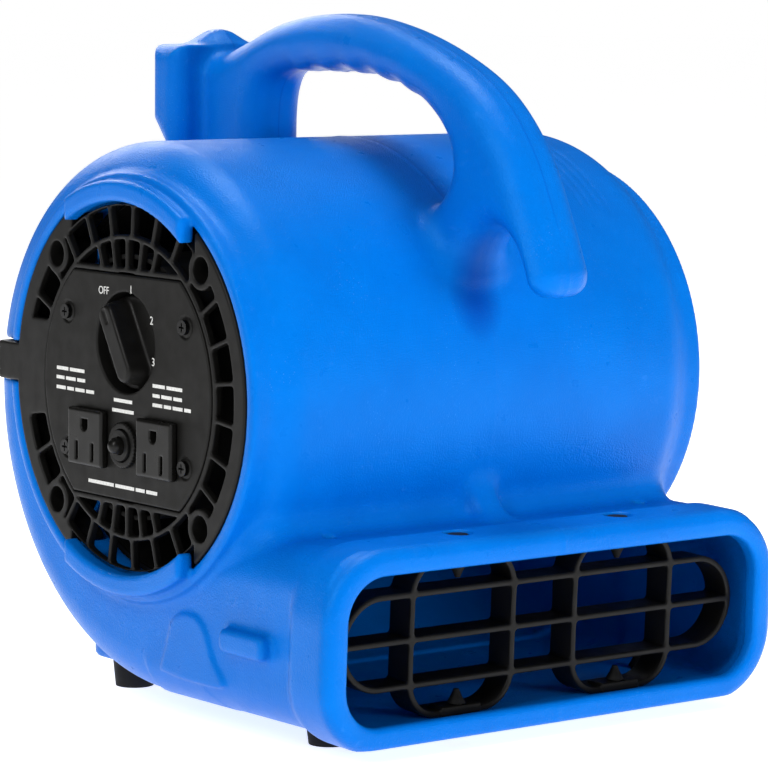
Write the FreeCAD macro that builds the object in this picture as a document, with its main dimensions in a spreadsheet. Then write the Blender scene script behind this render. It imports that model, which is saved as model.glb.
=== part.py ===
import FreeCAD, Part
import math
import os
import Sketcher

# Portable air mover: a one-piece hollow plastic housing with a carrying handle, a squirrel-cage
# fan on an internal motor, and a round intake panel with two outlets, a speed knob and a breaker.
# Frame: X across (the control panel is on the -X side), +Y to the back, +Z up, floor at Z = 0.
# The fan axis runs along X at (axis_y, axis_z); the housing's mid-plane is at X = mid_x.

SIZES = [
    ("mid_x", 3.6), ("axis_y", 13.6), ("axis_z", 150.0), ("wall", 3.2),
    # scroll outline around the fan axis: three arcs, then the flat bottom
    ("scroll_half", 127.0), ("scroll_round", 22.0), ("front_radius", 109.0), ("back_radius", 117.0),
    ("low_radius", 132.7), ("arc_shift", 7.0), ("low_shift", 8.7), ("tongue_angle", 230.0),
    # intake rim and the arc lugs on the panel side
    ("rim_x", 131.0), ("rim_radius", 97.0), ("bore_radius", 88.5), ("seat_radius", 91.0),
    ("seat_depth", 4.0), ("inlet_depth", 23.0), ("inlet_radius", 92.0), ("lug_x", 137.5),
    ("lug_outer", 93.5), ("lug_inner", 84.0), ("lug_span", 92.0), ("lug_shift", 4.0),
    ("fixing_radius", 80.5), ("bolt_hole", 2.3), ("ear_thick", 4.0), ("ear_gap", 0.8),
    ("skirt_depth", 14.0),
    # funnel that leads the air from the panel side into the wheel
    ("cone_flange", 1.5), ("cone_wide", 87.2), ("cone_narrow", 64.0), ("cone_length", 52.5),
    ("cone_wall", 1.8),
    # nozzle and its flared lip
    ("nozzle_height", 81.2), ("nozzle_round", 20.0), ("nozzle_end", 143.0), ("nozzle_start", 10.0),
    ("lip_drop", 101.5), ("lip_centre", 145.0), ("lip_front", 149.5), ("lip_half_width", 130.8),
    ("lip_half_height", 45.0), ("lip_depth", 30.0), ("lip_round", 33.0), ("lip_edge", 6.0),
    ("lip_tilt", 2.3), ("mouth_half_width", 118.5), ("mouth_half_height", 33.0), ("mouth_round", 19.0),
    ("mouth_depth", 30.0),
    # handle and the flange behind it
    ("handle_width", 35.0), ("handle_edge", 6.0), ("flange_width", 68.0), ("dome_radius", 16.0),
    # feet
    ("foot_x", 91.0), ("foot_rear_x", 85.0), ("rear_lift", 4.0), ("foot_front", 99.5),
    ("foot_back", 60.0), ("foot_top", 10.5), ("foot_bottom", 9.0), ("foot_well", 6.4),
    ("boss_half", 18.0), ("boss_front", 26.0), ("boss_back", 15.0), ("boss_height", 30.0),
    # round intake grilles
    ("grille_radius", 90.4), ("grille_thick", 4.0), ("vent_inner", 69.0), ("vent_outer", 82.0),
    ("vent_flat", 54.0), ("panel_radius", 66.0), ("panel_flat", 51.0), ("panel_thick", 2.5),
    ("panel_face", 131.5), ("spoke", 2.2), ("tube_radius", 7.2), ("well_bolt", 5.8), ("tube_depth", 18.0),
    # controls
    ("knob_z", 20.4), ("well_radius", 22.7), ("well_depth", 12.0), ("knob_radius", 21.4),
    ("knob_thick", 5.5), ("ridge_half", 7.0), ("ridge_reach", 14.3), ("ridge_depth", 11.5),
    ("ridge_proud", 6.5), ("outlet_y", 27.35), ("outlet_z", -24.8), ("outlet_wide", 27.5),
    ("outlet_tall", 26.0), ("outlet_proud", 4.0), ("pin_shift", 6.35), ("screw_y", 46.5),
    ("screw_z", 31.2), ("screw_hole", 1.8), ("breaker_z", -25.8), ("nut_radius", 10.6),
    ("nut_thick", 2.4), ("barrel_radius", 7.0), ("button_radius", 3.8), ("box_radius", 60.0),
    ("box_back", 88.0), ("box_wall", 2.0),
    # motor and wheel
    ("motor_radius", 48.0), ("shaft_radius", 4.0), ("bell_length", 16.0), ("bell_wall", 3.0),
    ("bearing_radius", 11.0), ("motor_start", -80.0), ("shell_start", -64.0), ("shell_length", 40.0),
    ("core_start", -60.0), ("core_length", 32.0), ("motor_screw_radius", 39.0), ("wheel_radius", 74.5),
    ("wheel_eye", 61.5), ("wheel_left", -50.0), ("wheel_right", 100.0), ("hub_x", 24.0),
    ("hub_radius", 13.9),
    # nozzle grille
    ("bar_thick", 2.8), ("bar_depth", 15.0), ("row_gap", 20.2), ("loop_half", 114.0),
    ("hoop_middle", 46.6), ("hoop_half_width", 30.0), ("hoop_half_height", 36.0), ("hoop_round", 17.0),
    ("grille_front", 137.65), ("grille_drop", 100.6), ("block_height", 4.2),
    # push rivets
    ("rivet_y", 133.0), ("rivet_head", 6.0), ("rivet_thick", 1.8), ("rivet_shank", 3.0),
    ("rivet_hole", 3.3), ("rivet_pocket", 6.6),
]
BLADES = 36
KNURLS = 30
VENTS = 27
BOTTOM = "-low_radius - arc_shift"
NOZZLE_DROP = "low_radius + arc_shift - nozzle_height/2"
DOC = FreeCAD.newDocument("air_mover")
V = FreeCAD.Vector
NODES = []


def make_sheet():
    """Put every driving size into a spreadsheet, each with its alias."""
    page = DOC.addObject("Spreadsheet::Sheet", "sizes")
    for line, (alias, value) in enumerate(SIZES, start=1):
        page.set(f"A{line}", alias)
        page.set(f"B{line}", str(value))
        page.setAlias(f"B{line}", alias)
    DOC.recompute()
    return page


SHEET = make_sheet()


def val(alias):
    """The number behind one alias."""
    return float(SHEET.get(alias))


def expr(text):
    """Turn bare alias names into spreadsheet references."""
    names = {alias for alias, _ in SIZES}
    words = "".join(c if c.isalnum() or c == "_" else f" {c} " for c in str(text)).split(" ")
    return "".join(f"sizes.{word}" if word in names else word for word in words)


def place(thing, x="0", y="0", z="0", turn=None):
    """Put an object at a point measured from the fan axis and mid-plane; turn is (axis, degrees)."""
    if turn:
        thing.Placement = FreeCAD.Placement(V(), FreeCAD.Rotation(V(*turn[0]), turn[1]))
    thing.setExpression("Placement.Base.x", expr(f"mid_x + ({x})"))
    thing.setExpression("Placement.Base.y", expr(f"axis_y + ({y})"))
    thing.setExpression("Placement.Base.z", expr(f"axis_z + ({z})"))
    return thing


ALONG_X = ((0, 1, 0), 90)
ALONG_Y = ((1, 0, 0), -90)
UPRIGHT = None


def cylinder(label, radius, length, x="0", y="0", z="0", turn=ALONG_X):
    """A cylinder starting at the given point and running along +X unless turned."""
    thing = DOC.addObject("Part::Cylinder", label)
    thing.Label = label
    thing.setExpression("Radius", expr(radius))
    thing.setExpression("Height", expr(length))
    return place(thing, x, y, z, turn)


def cone(label, radius_1, radius_2, length, x="0", y="0", z="0", turn=UPRIGHT):
    """A cone or taper starting at the given point."""
    thing = DOC.addObject("Part::Cone", label)
    thing.Label = label
    thing.setExpression("Radius1", expr(radius_1))
    thing.setExpression("Radius2", expr(radius_2))
    thing.setExpression("Height", expr(length))
    return place(thing, x, y, z, turn)


def box(label, sizes, x, y, z):
    """A box given by its three sizes and its lowest corner."""
    thing = DOC.addObject("Part::Box", label)
    thing.Label = label
    for side, size in zip(("Length", "Width", "Height"), sizes):
        thing.setExpression(side, expr(size))
    return place(thing, x, y, z)


def swung_box(label, sizes, x, start, angle):
    """A box (x size, tangential size, radial size) that starts at a radius and is swung round the axis."""
    thing = DOC.addObject("Part::Box", label)
    thing.Label = label
    for side, size in zip(("Length", "Width", "Height"), sizes):
        thing.setExpression(side, expr(size))
    thing.Placement = FreeCAD.Placement(V(), FreeCAD.Rotation(V(1, 0, 0), angle))
    across, out = f"-({sizes[1]})/2", start
    cosine, sine = math.cos(math.radians(angle)), math.sin(math.radians(angle))
    thing.setExpression("Placement.Base.x", expr(f"mid_x + ({x})"))
    thing.setExpression("Placement.Base.y", expr(f"axis_y + ({across})*{cosine:.8f} - ({out})*{sine:.8f}"))
    thing.setExpression("Placement.Base.z", expr(f"axis_z + ({across})*{sine:.8f} + ({out})*{cosine:.8f}"))
    return thing


def fuse(label, *things):
    """Join several objects into one solid."""
    joined = DOC.addObject("Part::MultiFuse", label)
    joined.Label = label
    joined.Shapes = list(things)
    return joined


def cut(label, base, *tools):
    """Take one or more tools away from a base."""
    result = DOC.addObject("Part::Cut", label)
    result.Label = label
    result.Base = base
    result.Tool = tools[0] if len(tools) == 1 else fuse(f"{label}_tools", *tools)
    return result


def common(label, first, second):
    """Keep what two objects share."""
    result = DOC.addObject("Part::Common", label)
    result.Label = label
    result.Base = first
    result.Tool = second
    return result


def group(label, *things):
    """Several separate identical solids that share one node."""
    result = DOC.addObject("Part::Compound", label)
    result.Label = label
    result.Links = list(things)
    return result


def node(thing):
    """Mark an object as one of the part's own pieces."""
    NODES.append(thing)
    return thing


def tube(label, outer, inner, length, x="0", y="0", z="0", turn=ALONG_X):
    """A plain tube."""
    return cut(label, cylinder(f"{label}_outside", outer, length, x, y, z, turn),
               cylinder(f"{label}_inside", inner, length, x, y, z, turn))


# ---------------------------------------------------------------- sketched bodies

def new_body(label, role):
    """A PartDesign body with one sketch on an origin plane."""
    body = DOC.addObject("PartDesign::Body", label)
    body.Label = label
    sketch = body.newObject("Sketcher::SketchObject", f"{label}_sketch")
    plane = [item for item in body.Origin.OriginFeatures if item.Role == role][0]
    sketch.AttachmentSupport = (plane, [""])
    sketch.MapMode = "FlatFace"
    return body, sketch


def pad(body, sketch, length, reverse=False):
    """Pad a sketch by a bound length."""
    feature = body.newObject("PartDesign::Pad", f"{body.Name}_pad")
    feature.Profile = sketch
    feature.setExpression("Length", expr(length))
    feature.Reversed = reverse
    sketch.Visibility = False
    DOC.recompute()
    return feature


def bound(sketch, name, expression, *definition):
    """Add a dimension to a sketch and bind it to the sheet."""
    index = sketch.addConstraint(Sketcher.Constraint(*definition))
    sketch.renameConstraint(index, name)
    sketch.setExpression(f"Constraints.{name}", expr(expression))


def round_edges(body, feature, radius, chosen):
    """Fillet the edges of a feature that a test picks out."""
    names = [f"Edge{i}" for i, edge in enumerate(feature.Shape.Edges, start=1) if chosen(edge)]
    fillet = body.newObject("PartDesign::Fillet", f"{body.Name}_fillet")
    fillet.Base = (feature, names)
    fillet.setExpression("Radius", expr(radius))
    DOC.recompute()
    return fillet


def chain(sketch, edges):
    """Add a run of edges to a sketch and return their numbers."""
    first = sketch.GeometryCount
    for edge in edges:
        sketch.addGeometry(edge, False)
    return list(range(first, first + len(edges)))


def arc(centre, radius, start, end):
    """A counter-clockwise arc in a sketch, angles in degrees."""
    circle = Part.Circle(V(centre[0], centre[1], 0), V(0, 0, 1), radius)
    return Part.ArcOfCircle(circle, math.radians(start), math.radians(end))


def line(start, end):
    """A straight edge in a sketch."""
    return Part.LineSegment(V(start[0], start[1], 0), V(end[0], end[1], 0))


def curve(points):
    """A smooth curve through points."""
    spline = Part.BSplineCurve()
    spline.interpolate([V(a, b, 0) for a, b in points])
    return spline


def rounded_rectangle(sketch, half_width, half_height, radius):
    """A centred rectangle with round corners, bound to the sheet."""
    w, t, r = (evaluate(item) for item in (half_width, half_height, radius))
    edges = [line((-w + r, t), (w - r, t)), arc((w - r, t - r), r, 0, 90),
             line((w, t - r), (w, -t + r)), arc((w - r, -t + r), r, 270, 360),
             line((w - r, -t), (-w + r, -t)), arc((-w + r, -t + r), r, 180, 270),
             line((-w, -t + r), (-w, t - r)), arc((-w + r, t - r), r, 90, 180)]
    first = chain(sketch, edges)[0]
    for corner in (1, 3, 5, 7):
        after = first + (corner + 1) % len(edges)
        sketch.addConstraint(Sketcher.Constraint("Tangent", first + corner - 1, 2, first + corner, 2))
        sketch.addConstraint(Sketcher.Constraint("Tangent", first + corner, 1, after, 1))
    for flat in (0, 4):
        sketch.addConstraint(Sketcher.Constraint("Horizontal", first + flat))
    for upright in (2, 6):
        sketch.addConstraint(Sketcher.Constraint("Vertical", first + upright))
    for corner in (3, 5, 7):
        sketch.addConstraint(Sketcher.Constraint("Equal", first + 1, first + corner))
    bound(sketch, "corner_radius", radius, "Radius", first + 1, r)
    bound(sketch, "right", half_width, "DistanceX", -1, 1, first + 2, 1, w)
    bound(sketch, "left", half_width, "DistanceX", first + 6, 1, -1, 1, w)
    bound(sketch, "top", half_height, "DistanceY", -1, 1, first, 1, t)
    bound(sketch, "bottom", half_height, "DistanceY", first + 4, 1, -1, 1, t)


def evaluate(text):
    """The number that an expression gives."""
    probe = DOC.addObject("App::FeaturePython", "probe")
    probe.addProperty("App::PropertyFloat", "value")
    probe.setExpression("value", expr(text))
    probe.recompute()
    number = probe.value
    DOC.removeObject(probe.Name)
    return number


def plate(label, half_width, half_height, radius, depth, front, drop, x="0"):
    """A rounded block across the nozzle that leans with the lip; front is its distance before the axis."""
    body, feature = upright_plate(label, half_width, half_height, radius, depth, front, drop)
    tilt = val("lip_tilt")
    lead = f"lip_centre - ({front})"
    place(body, x, f"-lip_centre + ({lead})*{math.cos(math.radians(tilt)):.8f}",
          f"-({drop}) + ({lead})*{math.sin(math.radians(tilt)):.8f}", ((1, 0, 0), tilt))
    return body, feature


def upright_plate(label, half_width, half_height, radius, depth, front, drop):
    """A rounded block across the nozzle that stands upright."""
    body, sketch = new_body(label, "XZ_Plane")
    rounded_rectangle(sketch, half_width, half_height, radius)
    feature = pad(body, sketch, depth, reverse=True)
    place(body, "0", f"-({front})", f"-({drop})")
    return body, feature


# ---------------------------------------------------------------- housing

def scroll(label, inset, half):
    """The fan scroll: three tangent quarter arcs of growing radius, a flat bottom and a blunt front."""
    body, sketch = new_body(label, "YZ_Plane")
    shift, low = val("arc_shift"), val("low_shift")
    front, back, bottom = (val(name) - inset for name in ("front_radius", "back_radius", "low_radius"))
    front_centre = (shift, shift - 6.0)
    back_centre = (shift, -shift)
    low_centre = (-low, -shift)
    tongue = val("tongue_angle")
    tip = (front_centre[0] + front * math.cos(math.radians(tongue)),
           front_centre[1] + front * math.sin(math.radians(tongue)))
    floor = low_centre[1] - bottom
    edges = [arc(front_centre, front, 90, tongue), line(tip, (tip[0], floor)),
             line((tip[0], floor), (-low, floor)), arc(low_centre, bottom, 270, 360),
             arc(back_centre, back, 0, 90)]
    first = chain(sketch, edges)[0]
    bound(sketch, "front_radius", f"front_radius - {inset}", "Radius", first, front)
    feature = pad(body, sketch, f"2*({half})")
    round_edges(body, feature, f"scroll_round - {inset}",
                lambda edge: isinstance(edge.Curve, Part.Circle))
    return place(body, f"-({half})", "0", "0")


def handle_bar():
    """The carrying handle: an arch over the drum that ends in a free hook at the front."""
    body, sketch = new_body("handle_bar", "YZ_Plane")
    top = [(98, 145), (80, 151.5), (46, 163), (5, 167), (-35, 161.5), (-73, 149.5), (-102, 134),
           (-125, 110), (-142, 78), (-151, 57)]
    hook_inside = [(-136, 49), (-128, 66), (-114, 75), (-101, 70), (-91, 52)]
    tip = Part.Arc(V(-151, 57, 0), V(-147.5, 46.5, 0), V(-136, 49, 0))
    stem = [(-91, 52), (-70, 40), (70, 40), (104, 78), (104, 139), (98, 145)]
    chain(sketch, [curve(top), tip, curve(hook_inside)] + [line(a, b) for a, b in zip(stem, stem[1:])])
    hole = [(63, 70), (63, 100), (62, 124), (57, 135), (45, 140), (15, 141.5), (-20, 140.5), (-47, 134.5),
            (-66, 125.5), (-80, 112), (-83, 98), (-74, 84), (-60, 70)]
    chain(sketch, [curve(hole), line(hole[-1], hole[0])])
    feature = pad(body, sketch, "handle_width")
    round_edges(body, feature, "handle_edge",
                lambda edge: is_side_edge(edge) and (edge.Length > 200 or is_on_hook(edge.CenterOfMass)))
    return place(body, "-handle_width/2", "0", "0")


def is_side_edge(edge):
    """True for an edge that lies in one of the handle's two flat sides."""
    width = val("handle_width")
    return all(abs(v.X) < 1e-3 for v in edge.Vertexes) or all(abs(v.X - width) < 1e-3 for v in edge.Vertexes)


def is_on_hook(point):
    """True for a point on the free front end of the handle."""
    return point.y < -105 and point.z > 46


def cord_hook():
    """The wide flange behind the handle that the cord is wrapped under, and the dome on top of it."""
    body, sketch = new_body("cord_hook", "YZ_Plane")
    outline = [(101, 96), (101, 151), (124.3, 151), (124.3, 114), (106, 92)]
    chain(sketch, [line(a, b) for a, b in zip(outline, outline[1:] + outline[:1])])
    feature = pad(body, sketch, "flange_width")
    round_edges(body, feature, "6", lambda edge: edge.Length > 60 and edge.CenterOfMass.z > 110)
    dome = cylinder("hook_dome", "dome_radius", "20", "0", "103", "142", ALONG_Y)
    return place(body, "-flange_width/2", "0", "0"), dome


def ear_start(side):
    """Where the ears of one side begin: just inside the inlet ring."""
    if side == "left":
        return "-rim_x + inlet_depth - ear_thick - ear_gap"
    return "rim_x - inlet_depth + ear_gap"


def ring_ear(side, angle):
    """One of the inward ears that a grille is bolted to."""
    size = ("ear_thick", "15", "17")
    return swung_box(f"ear_{side}_{angle}", size, ear_start(side), "fixing_radius - 7", angle)


def quarter_points(radius):
    """The four fixing points at 45 degrees, as y and z expressions with their angle."""
    for turn in (45, 135, 225, 315):
        yield (turn, f"-({radius})*{math.sin(math.radians(turn)):.6f}",
               f"({radius})*{math.cos(math.radians(turn)):.6f}")


def foot_points():
    """Where the feet stand, measured from the fan axis, and how far their seats are above the bottom."""
    for side in (-1, 1):
        yield f"{side}*foot_x", "-foot_front", "0"
        yield f"{side}*foot_rear_x", "foot_back", "rear_lift"


def housing_outside():
    """The closed outside of the housing, with its handle, flange, bosses, lugs and blank badge."""
    lip, lip_pad = plate("lip", "lip_half_width", "lip_half_height", "lip_round", "lip_depth", "lip_front",
                         "lip_drop")
    round_edges(lip, lip_pad, "lip_edge", lambda edge: abs(edge.CenterOfMass.y) < 1e-3
                or abs(edge.CenterOfMass.y - val("lip_depth")) < 1e-3)
    nozzle, _ = upright_plate("nozzle", "scroll_half", "nozzle_height/2", "nozzle_round",
                              "nozzle_end - nozzle_start", "nozzle_end", NOZZLE_DROP)
    rim = cylinder("rim", "rim_radius", "2*rim_x", "-rim_x")
    flange, dome = cord_hook()
    bosses = [box(f"foot_boss_{i}", ("2*boss_half", "boss_front + boss_back", "boss_height"),
                  f"{side}*foot_rear_x - boss_half", "foot_back - boss_front", f"{BOTTOM} + rear_lift")
              for i, side in enumerate((-1, 1))]
    side_lugs = [box(f"side_lug_{i}", ("8", "33", "11"), start, "-106", "-109")
                 for i, start in enumerate(("-scroll_half - 6", "scroll_half - 2"))]
    badge = cylinder("blank_badge", "13", "3", "-scroll_half - 1", "-50", "-112")
    return fuse("housing_solid", scroll("scroll_outside", 0.0, "scroll_half"), nozzle, lip, rim,
                handle_bar(), flange, dome, *bosses, *side_lugs, badge)


def housing_shell():
    """The hollow housing before its inlets are bored."""
    inner = scroll("scroll_inside", val("wall"), "scroll_half - wall")
    passage, _ = upright_plate("passage", "scroll_half - wall", "nozzle_height/2 - wall",
                               "nozzle_round - wall", "nozzle_end - nozzle_start - 2", "nozzle_end - 2",
                               NOZZLE_DROP)
    mouth, _ = plate("mouth", "mouth_half_width", "mouth_half_height", "mouth_round", "mouth_depth",
                     "lip_centre + mouth_depth/2", "lip_drop")
    return cut("housing_shell", housing_outside(), inner, passage, mouth)


def bored_shell():
    """The shell with its two inlet rings, bored through and seated for the grilles."""
    additions, bores = [housing_shell()], []
    for side in ("left", "right"):
        left = side == "left"
        additions.append(cylinder(f"inlet_ring_{side}", "inlet_radius", "inlet_depth",
                                  "-rim_x" if left else "rim_x - inlet_depth"))
        bores.append(cylinder(f"bore_{side}", "bore_radius", "inlet_depth + 2",
                              "-rim_x - 1" if left else "rim_x - inlet_depth - 1"))
        bores.append(cylinder(f"seat_{side}", "seat_radius", "seat_depth + 1",
                              "-rim_x - 1" if left else "rim_x - seat_depth"))
    return cut("housing_bored", fuse("housing_rings", *additions), *bores)


def rivet_tools():
    """Holes and head pockets for the grille's four rivets, and holes for the feet's own."""
    tools = []
    for i, side in enumerate((-1, 1)):
        x = f"{side}*hoop_middle"
        tools.append(cylinder(f"grille_rivet_hole_{i}", "rivet_hole", "90", x, "-rivet_y", f"{BOTTOM} - 1",
                              UPRIGHT))
        tools.append(cylinder(f"pocket_high_{i}", "rivet_pocket", "12", x, "-rivet_y",
                              f"{BOTTOM} + nozzle_height", UPRIGHT))
        tools.append(cylinder(f"pocket_low_{i}", "rivet_pocket", "12", x, "-rivet_y", f"{BOTTOM} - 12",
                              UPRIGHT))
        tools.append(cylinder(f"barb_room_{i}", "rivet_pocket - 1.6", "20", f"{side}*foot_rear_x",
                              "foot_back", f"{BOTTOM} + rear_lift + wall + 0.4", UPRIGHT))
    for i, (x, y, _) in enumerate(foot_points()):
        tools.append(cylinder(f"foot_hole_{i}", "rivet_hole", "20", x, y, f"{BOTTOM} - 1", UPRIGHT))
    return tools


def make_housing():
    """The one-piece housing with its inlets, ears, arc lugs and holes."""
    ears, holes = [], rivet_tools()
    for side in ("left", "right"):
        for turn, y, z in quarter_points("fixing_radius"):
            ears.append(ring_ear(side, turn))
            holes.append(cylinder(f"ear_hole_{side}_{turn}", "bolt_hole", "2*ear_thick",
                                  f"{ear_start(side)} - ear_thick/2", y, z))
    lug_ring = tube("lug_ring", "lug_outer", "lug_inner", "lug_x - rim_x + 2", "-lug_x")
    lug_window = box("lug_window", ("20", "lug_span", "240"), "-lug_x - 5", "-lug_span/2 - lug_shift",
                     "-120")
    lugs = common("arc_lugs", lug_ring, lug_window)
    notch = box("tab_notch", ("22", "40", "19.4"), "-rim_x - 1", "80", "-5.7")
    node(cut("housing", fuse("housing_whole", bored_shell(), *ears, lugs), *holes, notch))


def make_inlet_cone():
    """The funnel behind the left grille: a flange against the inlet ring, then a taper down to the wheel."""
    start = "-rim_x + inlet_depth"
    flange = cylinder("cone_flange_disc", "inlet_radius", "cone_flange", start)
    funnel = cone("cone_outside", "cone_wide + cone_wall", "cone_narrow + cone_wall", "cone_length", start,
                  "0", "0", ALONG_X)
    taper = cone("cone_inside", "cone_wide", "cone_narrow", "cone_length", start, "0", "0", ALONG_X)
    mouth = cylinder("cone_mouth", "cone_wide", "cone_flange + 1", f"{start} - 1")
    node(cut("inlet_cone", fuse("cone_plain", flange, funnel), taper, mouth))


# ---------------------------------------------------------------- intake grilles

def vent_ring(side, start):
    """The ring of vent openings, as one cutting tool: a ring less its spokes."""
    ring = tube(f"vent_ring_{side}", "vent_outer", "vent_inner", "8", start)
    spokes = []
    for i in range(VENTS):
        angle = 90 + 180 / VENTS + i * 360 / VENTS
        spokes.append(swung_box(f"vent_spoke_{side}_{i}", ("8", "spoke", "20"), start, "66", angle))
    for turn, y, z in quarter_points("fixing_radius"):
        spokes.append(cylinder(f"vent_pillar_{side}_{turn}", "9", "8", start, y, z))
    if side == "left":
        spokes.append(box("tab_root", ("8", "30", "44"), start, "60", "-18"))
    return cut(f"vents_{side}", ring, *spokes)


def inner_vents(start):
    """The second row of vent openings above and below the control panel."""
    segment = cylinder("inner_disc", "vent_inner - spoke", "8", start)
    bands = fuse("inner_bands", box("inner_top", ("8", "80", "40"), start, "-40", "vent_flat"),
                 box("inner_bottom", ("8", "80", "40"), start, "-40", "-vent_flat - 40"))
    webs = []
    for i in range(-2, 3):
        for base in (0, 180):
            webs.append(swung_box(f"inner_web_{base}_{i}", ("8", "spoke", "30"), start, "45", base + i * 10))
    return cut("vents_inner", common("inner_segments", segment, bands), *webs)


def grille_blank(side):
    """The disc, locating skirt and four bolt tubes that both intake grilles share."""
    left = side == "left"
    disc = cylinder(f"grille_disc_{side}", "grille_radius", "grille_thick",
                    "-rim_x" if left else "rim_x - grille_thick")
    skirt = tube(f"grille_skirt_{side}", "bore_radius - 0.4", "bore_radius - 3", "skirt_depth",
                 "-rim_x + grille_thick" if left else "rim_x - grille_thick - skirt_depth")
    pieces, holes = [disc, skirt], []
    for turn, y, z in quarter_points("fixing_radius"):
        pieces.append(cylinder(f"bolt_tube_{side}_{turn}", "tube_radius", "tube_depth",
                               "-rim_x" if left else "rim_x - tube_depth", y, z))
        holes.append(cylinder(f"bolt_well_{side}_{turn}", "well_bolt", "tube_depth - 2.5",
                              "-rim_x - 1" if left else "rim_x - tube_depth + 3.5", y, z))
        holes.append(cylinder(f"bolt_hole_{side}_{turn}", "bolt_hole", "tube_depth + 6",
                              "-rim_x - 1" if left else "rim_x - tube_depth - 5", y, z))
    return pieces, holes


def make_left_grille():
    """The intake grille on the panel side, with a seat for the control panel and the cord tab."""
    pieces, holes = grille_blank("left")
    pieces.append(box("cord_tab", ("18", "21", "18"), "-rim_x", "86", "-5"))
    start = "-rim_x - 1"
    seat_band = box("panel_seat_band", ("3", "200", "2*panel_flat + 0.6"), start, "-100",
                    "-panel_flat - 0.3")
    seat = common("panel_seat", cylinder("panel_seat_disc", "panel_radius + 0.3", "3", start), seat_band)
    opening = cylinder("panel_opening", "box_radius - 8", "10", start)
    screw_holes = [cylinder(f"ledge_hole_{i}", "screw_hole", "10", start, y, z)
                   for i, (y, z) in enumerate(screw_points())]
    lug_window = box("lug_space_window", ("16", "lug_span + 6", "240"), start, "-lug_span/2 - lug_shift - 3",
                     "-120")
    lug_band = tube("lug_space_ring", "grille_radius + 5", "lug_inner - 0.8", "16", start)
    lug_space = common("lug_space", lug_band, lug_window)
    cord_way = cylinder("cord_way", "5.2", "60", "-rim_x + 9", "62", "4", ALONG_Y)
    node(cut("left_intake_grille", fuse("left_grille_plain", *pieces), *holes, seat, opening, *screw_holes,
             lug_space, cord_way, vent_ring("left", start), inner_vents(start)))
    node(tube("cord_gland", "5", "3.4", "14", "-rim_x + 9", "93", "4", ALONG_Y))


def make_right_grille():
    """The full intake grille on the other side, with three rings of vents."""
    pieces, holes = grille_blank("right")
    start = "rim_x - 7"
    rings = [vent_ring("right", start)]
    for name, outer, inner, count in (("middle", 65, 45, 18), ("centre", 41, 21, 12)):
        ring = tube(f"vent_ring_{name}", outer, inner, "8", start)
        spokes = [swung_box(f"spoke_{name}_{i}", ("8", "spoke", "30"), start, inner - 4, i * 360 / count)
                  for i in range(count)]
        rings.append(cut(f"vents_{name}", ring, *spokes))
    node(cut("right_intake_grille", fuse("right_grille_plain", *pieces), *holes, *rings))


def make_grille_fixings():
    """Bolts and nuts that hold both grilles to the housing's ears."""
    for side in ("left", "right"):
        left = side == "left"
        bolts, nuts = [], []
        for turn, y, z in quarter_points("fixing_radius"):
            head = cylinder(f"head_{side}_{turn}", "3.6", "3",
                            "-rim_x + 11.5" if left else "rim_x - 14.5", y, z)
            shank = cylinder(f"shank_{side}_{turn}", "2", "16",
                             "-rim_x + 14" if left else "rim_x - 30", y, z)
            bolts.append(fuse(f"bolt_{side}_{turn}", head, shank))
            nuts.append(tube(f"nut_{side}_{turn}", "3.8", "2.05", "3",
                             "-rim_x + 24.4" if left else "rim_x - 25.3", y, z))
        node(group(f"{side}_grille_bolts", *bolts))
        node(group(f"{side}_grille_nuts", *nuts))


# ---------------------------------------------------------------- control panel

def screw_points():
    """The four control panel screws."""
    for y in ("screw_y", "-screw_y"):
        for z in ("screw_z", "-screw_z"):
            yield y, z


def make_control_panel():
    """The flat control panel with the knob well, outlet windows and breaker hole."""
    face = "-panel_face"
    disc = common("panel_blank", cylinder("panel_disc", "panel_radius", "panel_thick", face),
                  box("panel_band", ("panel_thick", "200", "2*panel_flat"), face, "-100", "-panel_flat"))
    cup = cylinder("well_cup", "well_radius + 1.5", "well_depth + 2", face, "0", "knob_z")
    tools = [cylinder("well", "well_radius", "well_depth + 1", f"{face} - 1", "0", "knob_z"),
             cylinder("shaft_hole", "shaft_radius - 0.4", "30", f"{face} - 1", "0", "knob_z"),
             cylinder("breaker_hole", "barrel_radius + 0.2", "10", f"{face} - 1", "0", "breaker_z")]
    for i, side in enumerate((-1, 1)):
        tools.append(box(f"outlet_window_{i}", ("10", "outlet_wide - 2", "outlet_tall - 2"), f"{face} - 1",
                         f"{side}*outlet_y - outlet_wide/2 + 1", "outlet_z - outlet_tall/2 + 1"))
    tools += [cylinder(f"panel_hole_{i}", "screw_hole", "10", f"{face} - 1", y, z)
              for i, (y, z) in enumerate(screw_points())]
    node(cut("control_panel", fuse("panel_plain", disc, cup), *tools))


def make_panel_screws():
    """The four cross-head screws that hold the panel."""
    screws = []
    for i, (y, z) in enumerate(screw_points()):
        top = "-panel_face - 2"
        head = cylinder(f"panel_screw_head_{i}", "3.4", "2", top, y, z)
        shank = cylinder(f"panel_screw_shank_{i}", "1.45", "14", "-panel_face", y, z)
        cross = [box(f"cross_a_{i}", ("1.2", "4", "0.8"), top, f"{y} - 2", f"{z} - 0.4"),
                 box(f"cross_b_{i}", ("1.2", "0.8", "4"), top, f"{y} - 0.4", f"{z} - 2")]
        screws.append(cut(f"panel_screw_{i}", fuse(f"panel_screw_body_{i}", head, shank), *cross))
    node(group("panel_screws", *screws))


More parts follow.
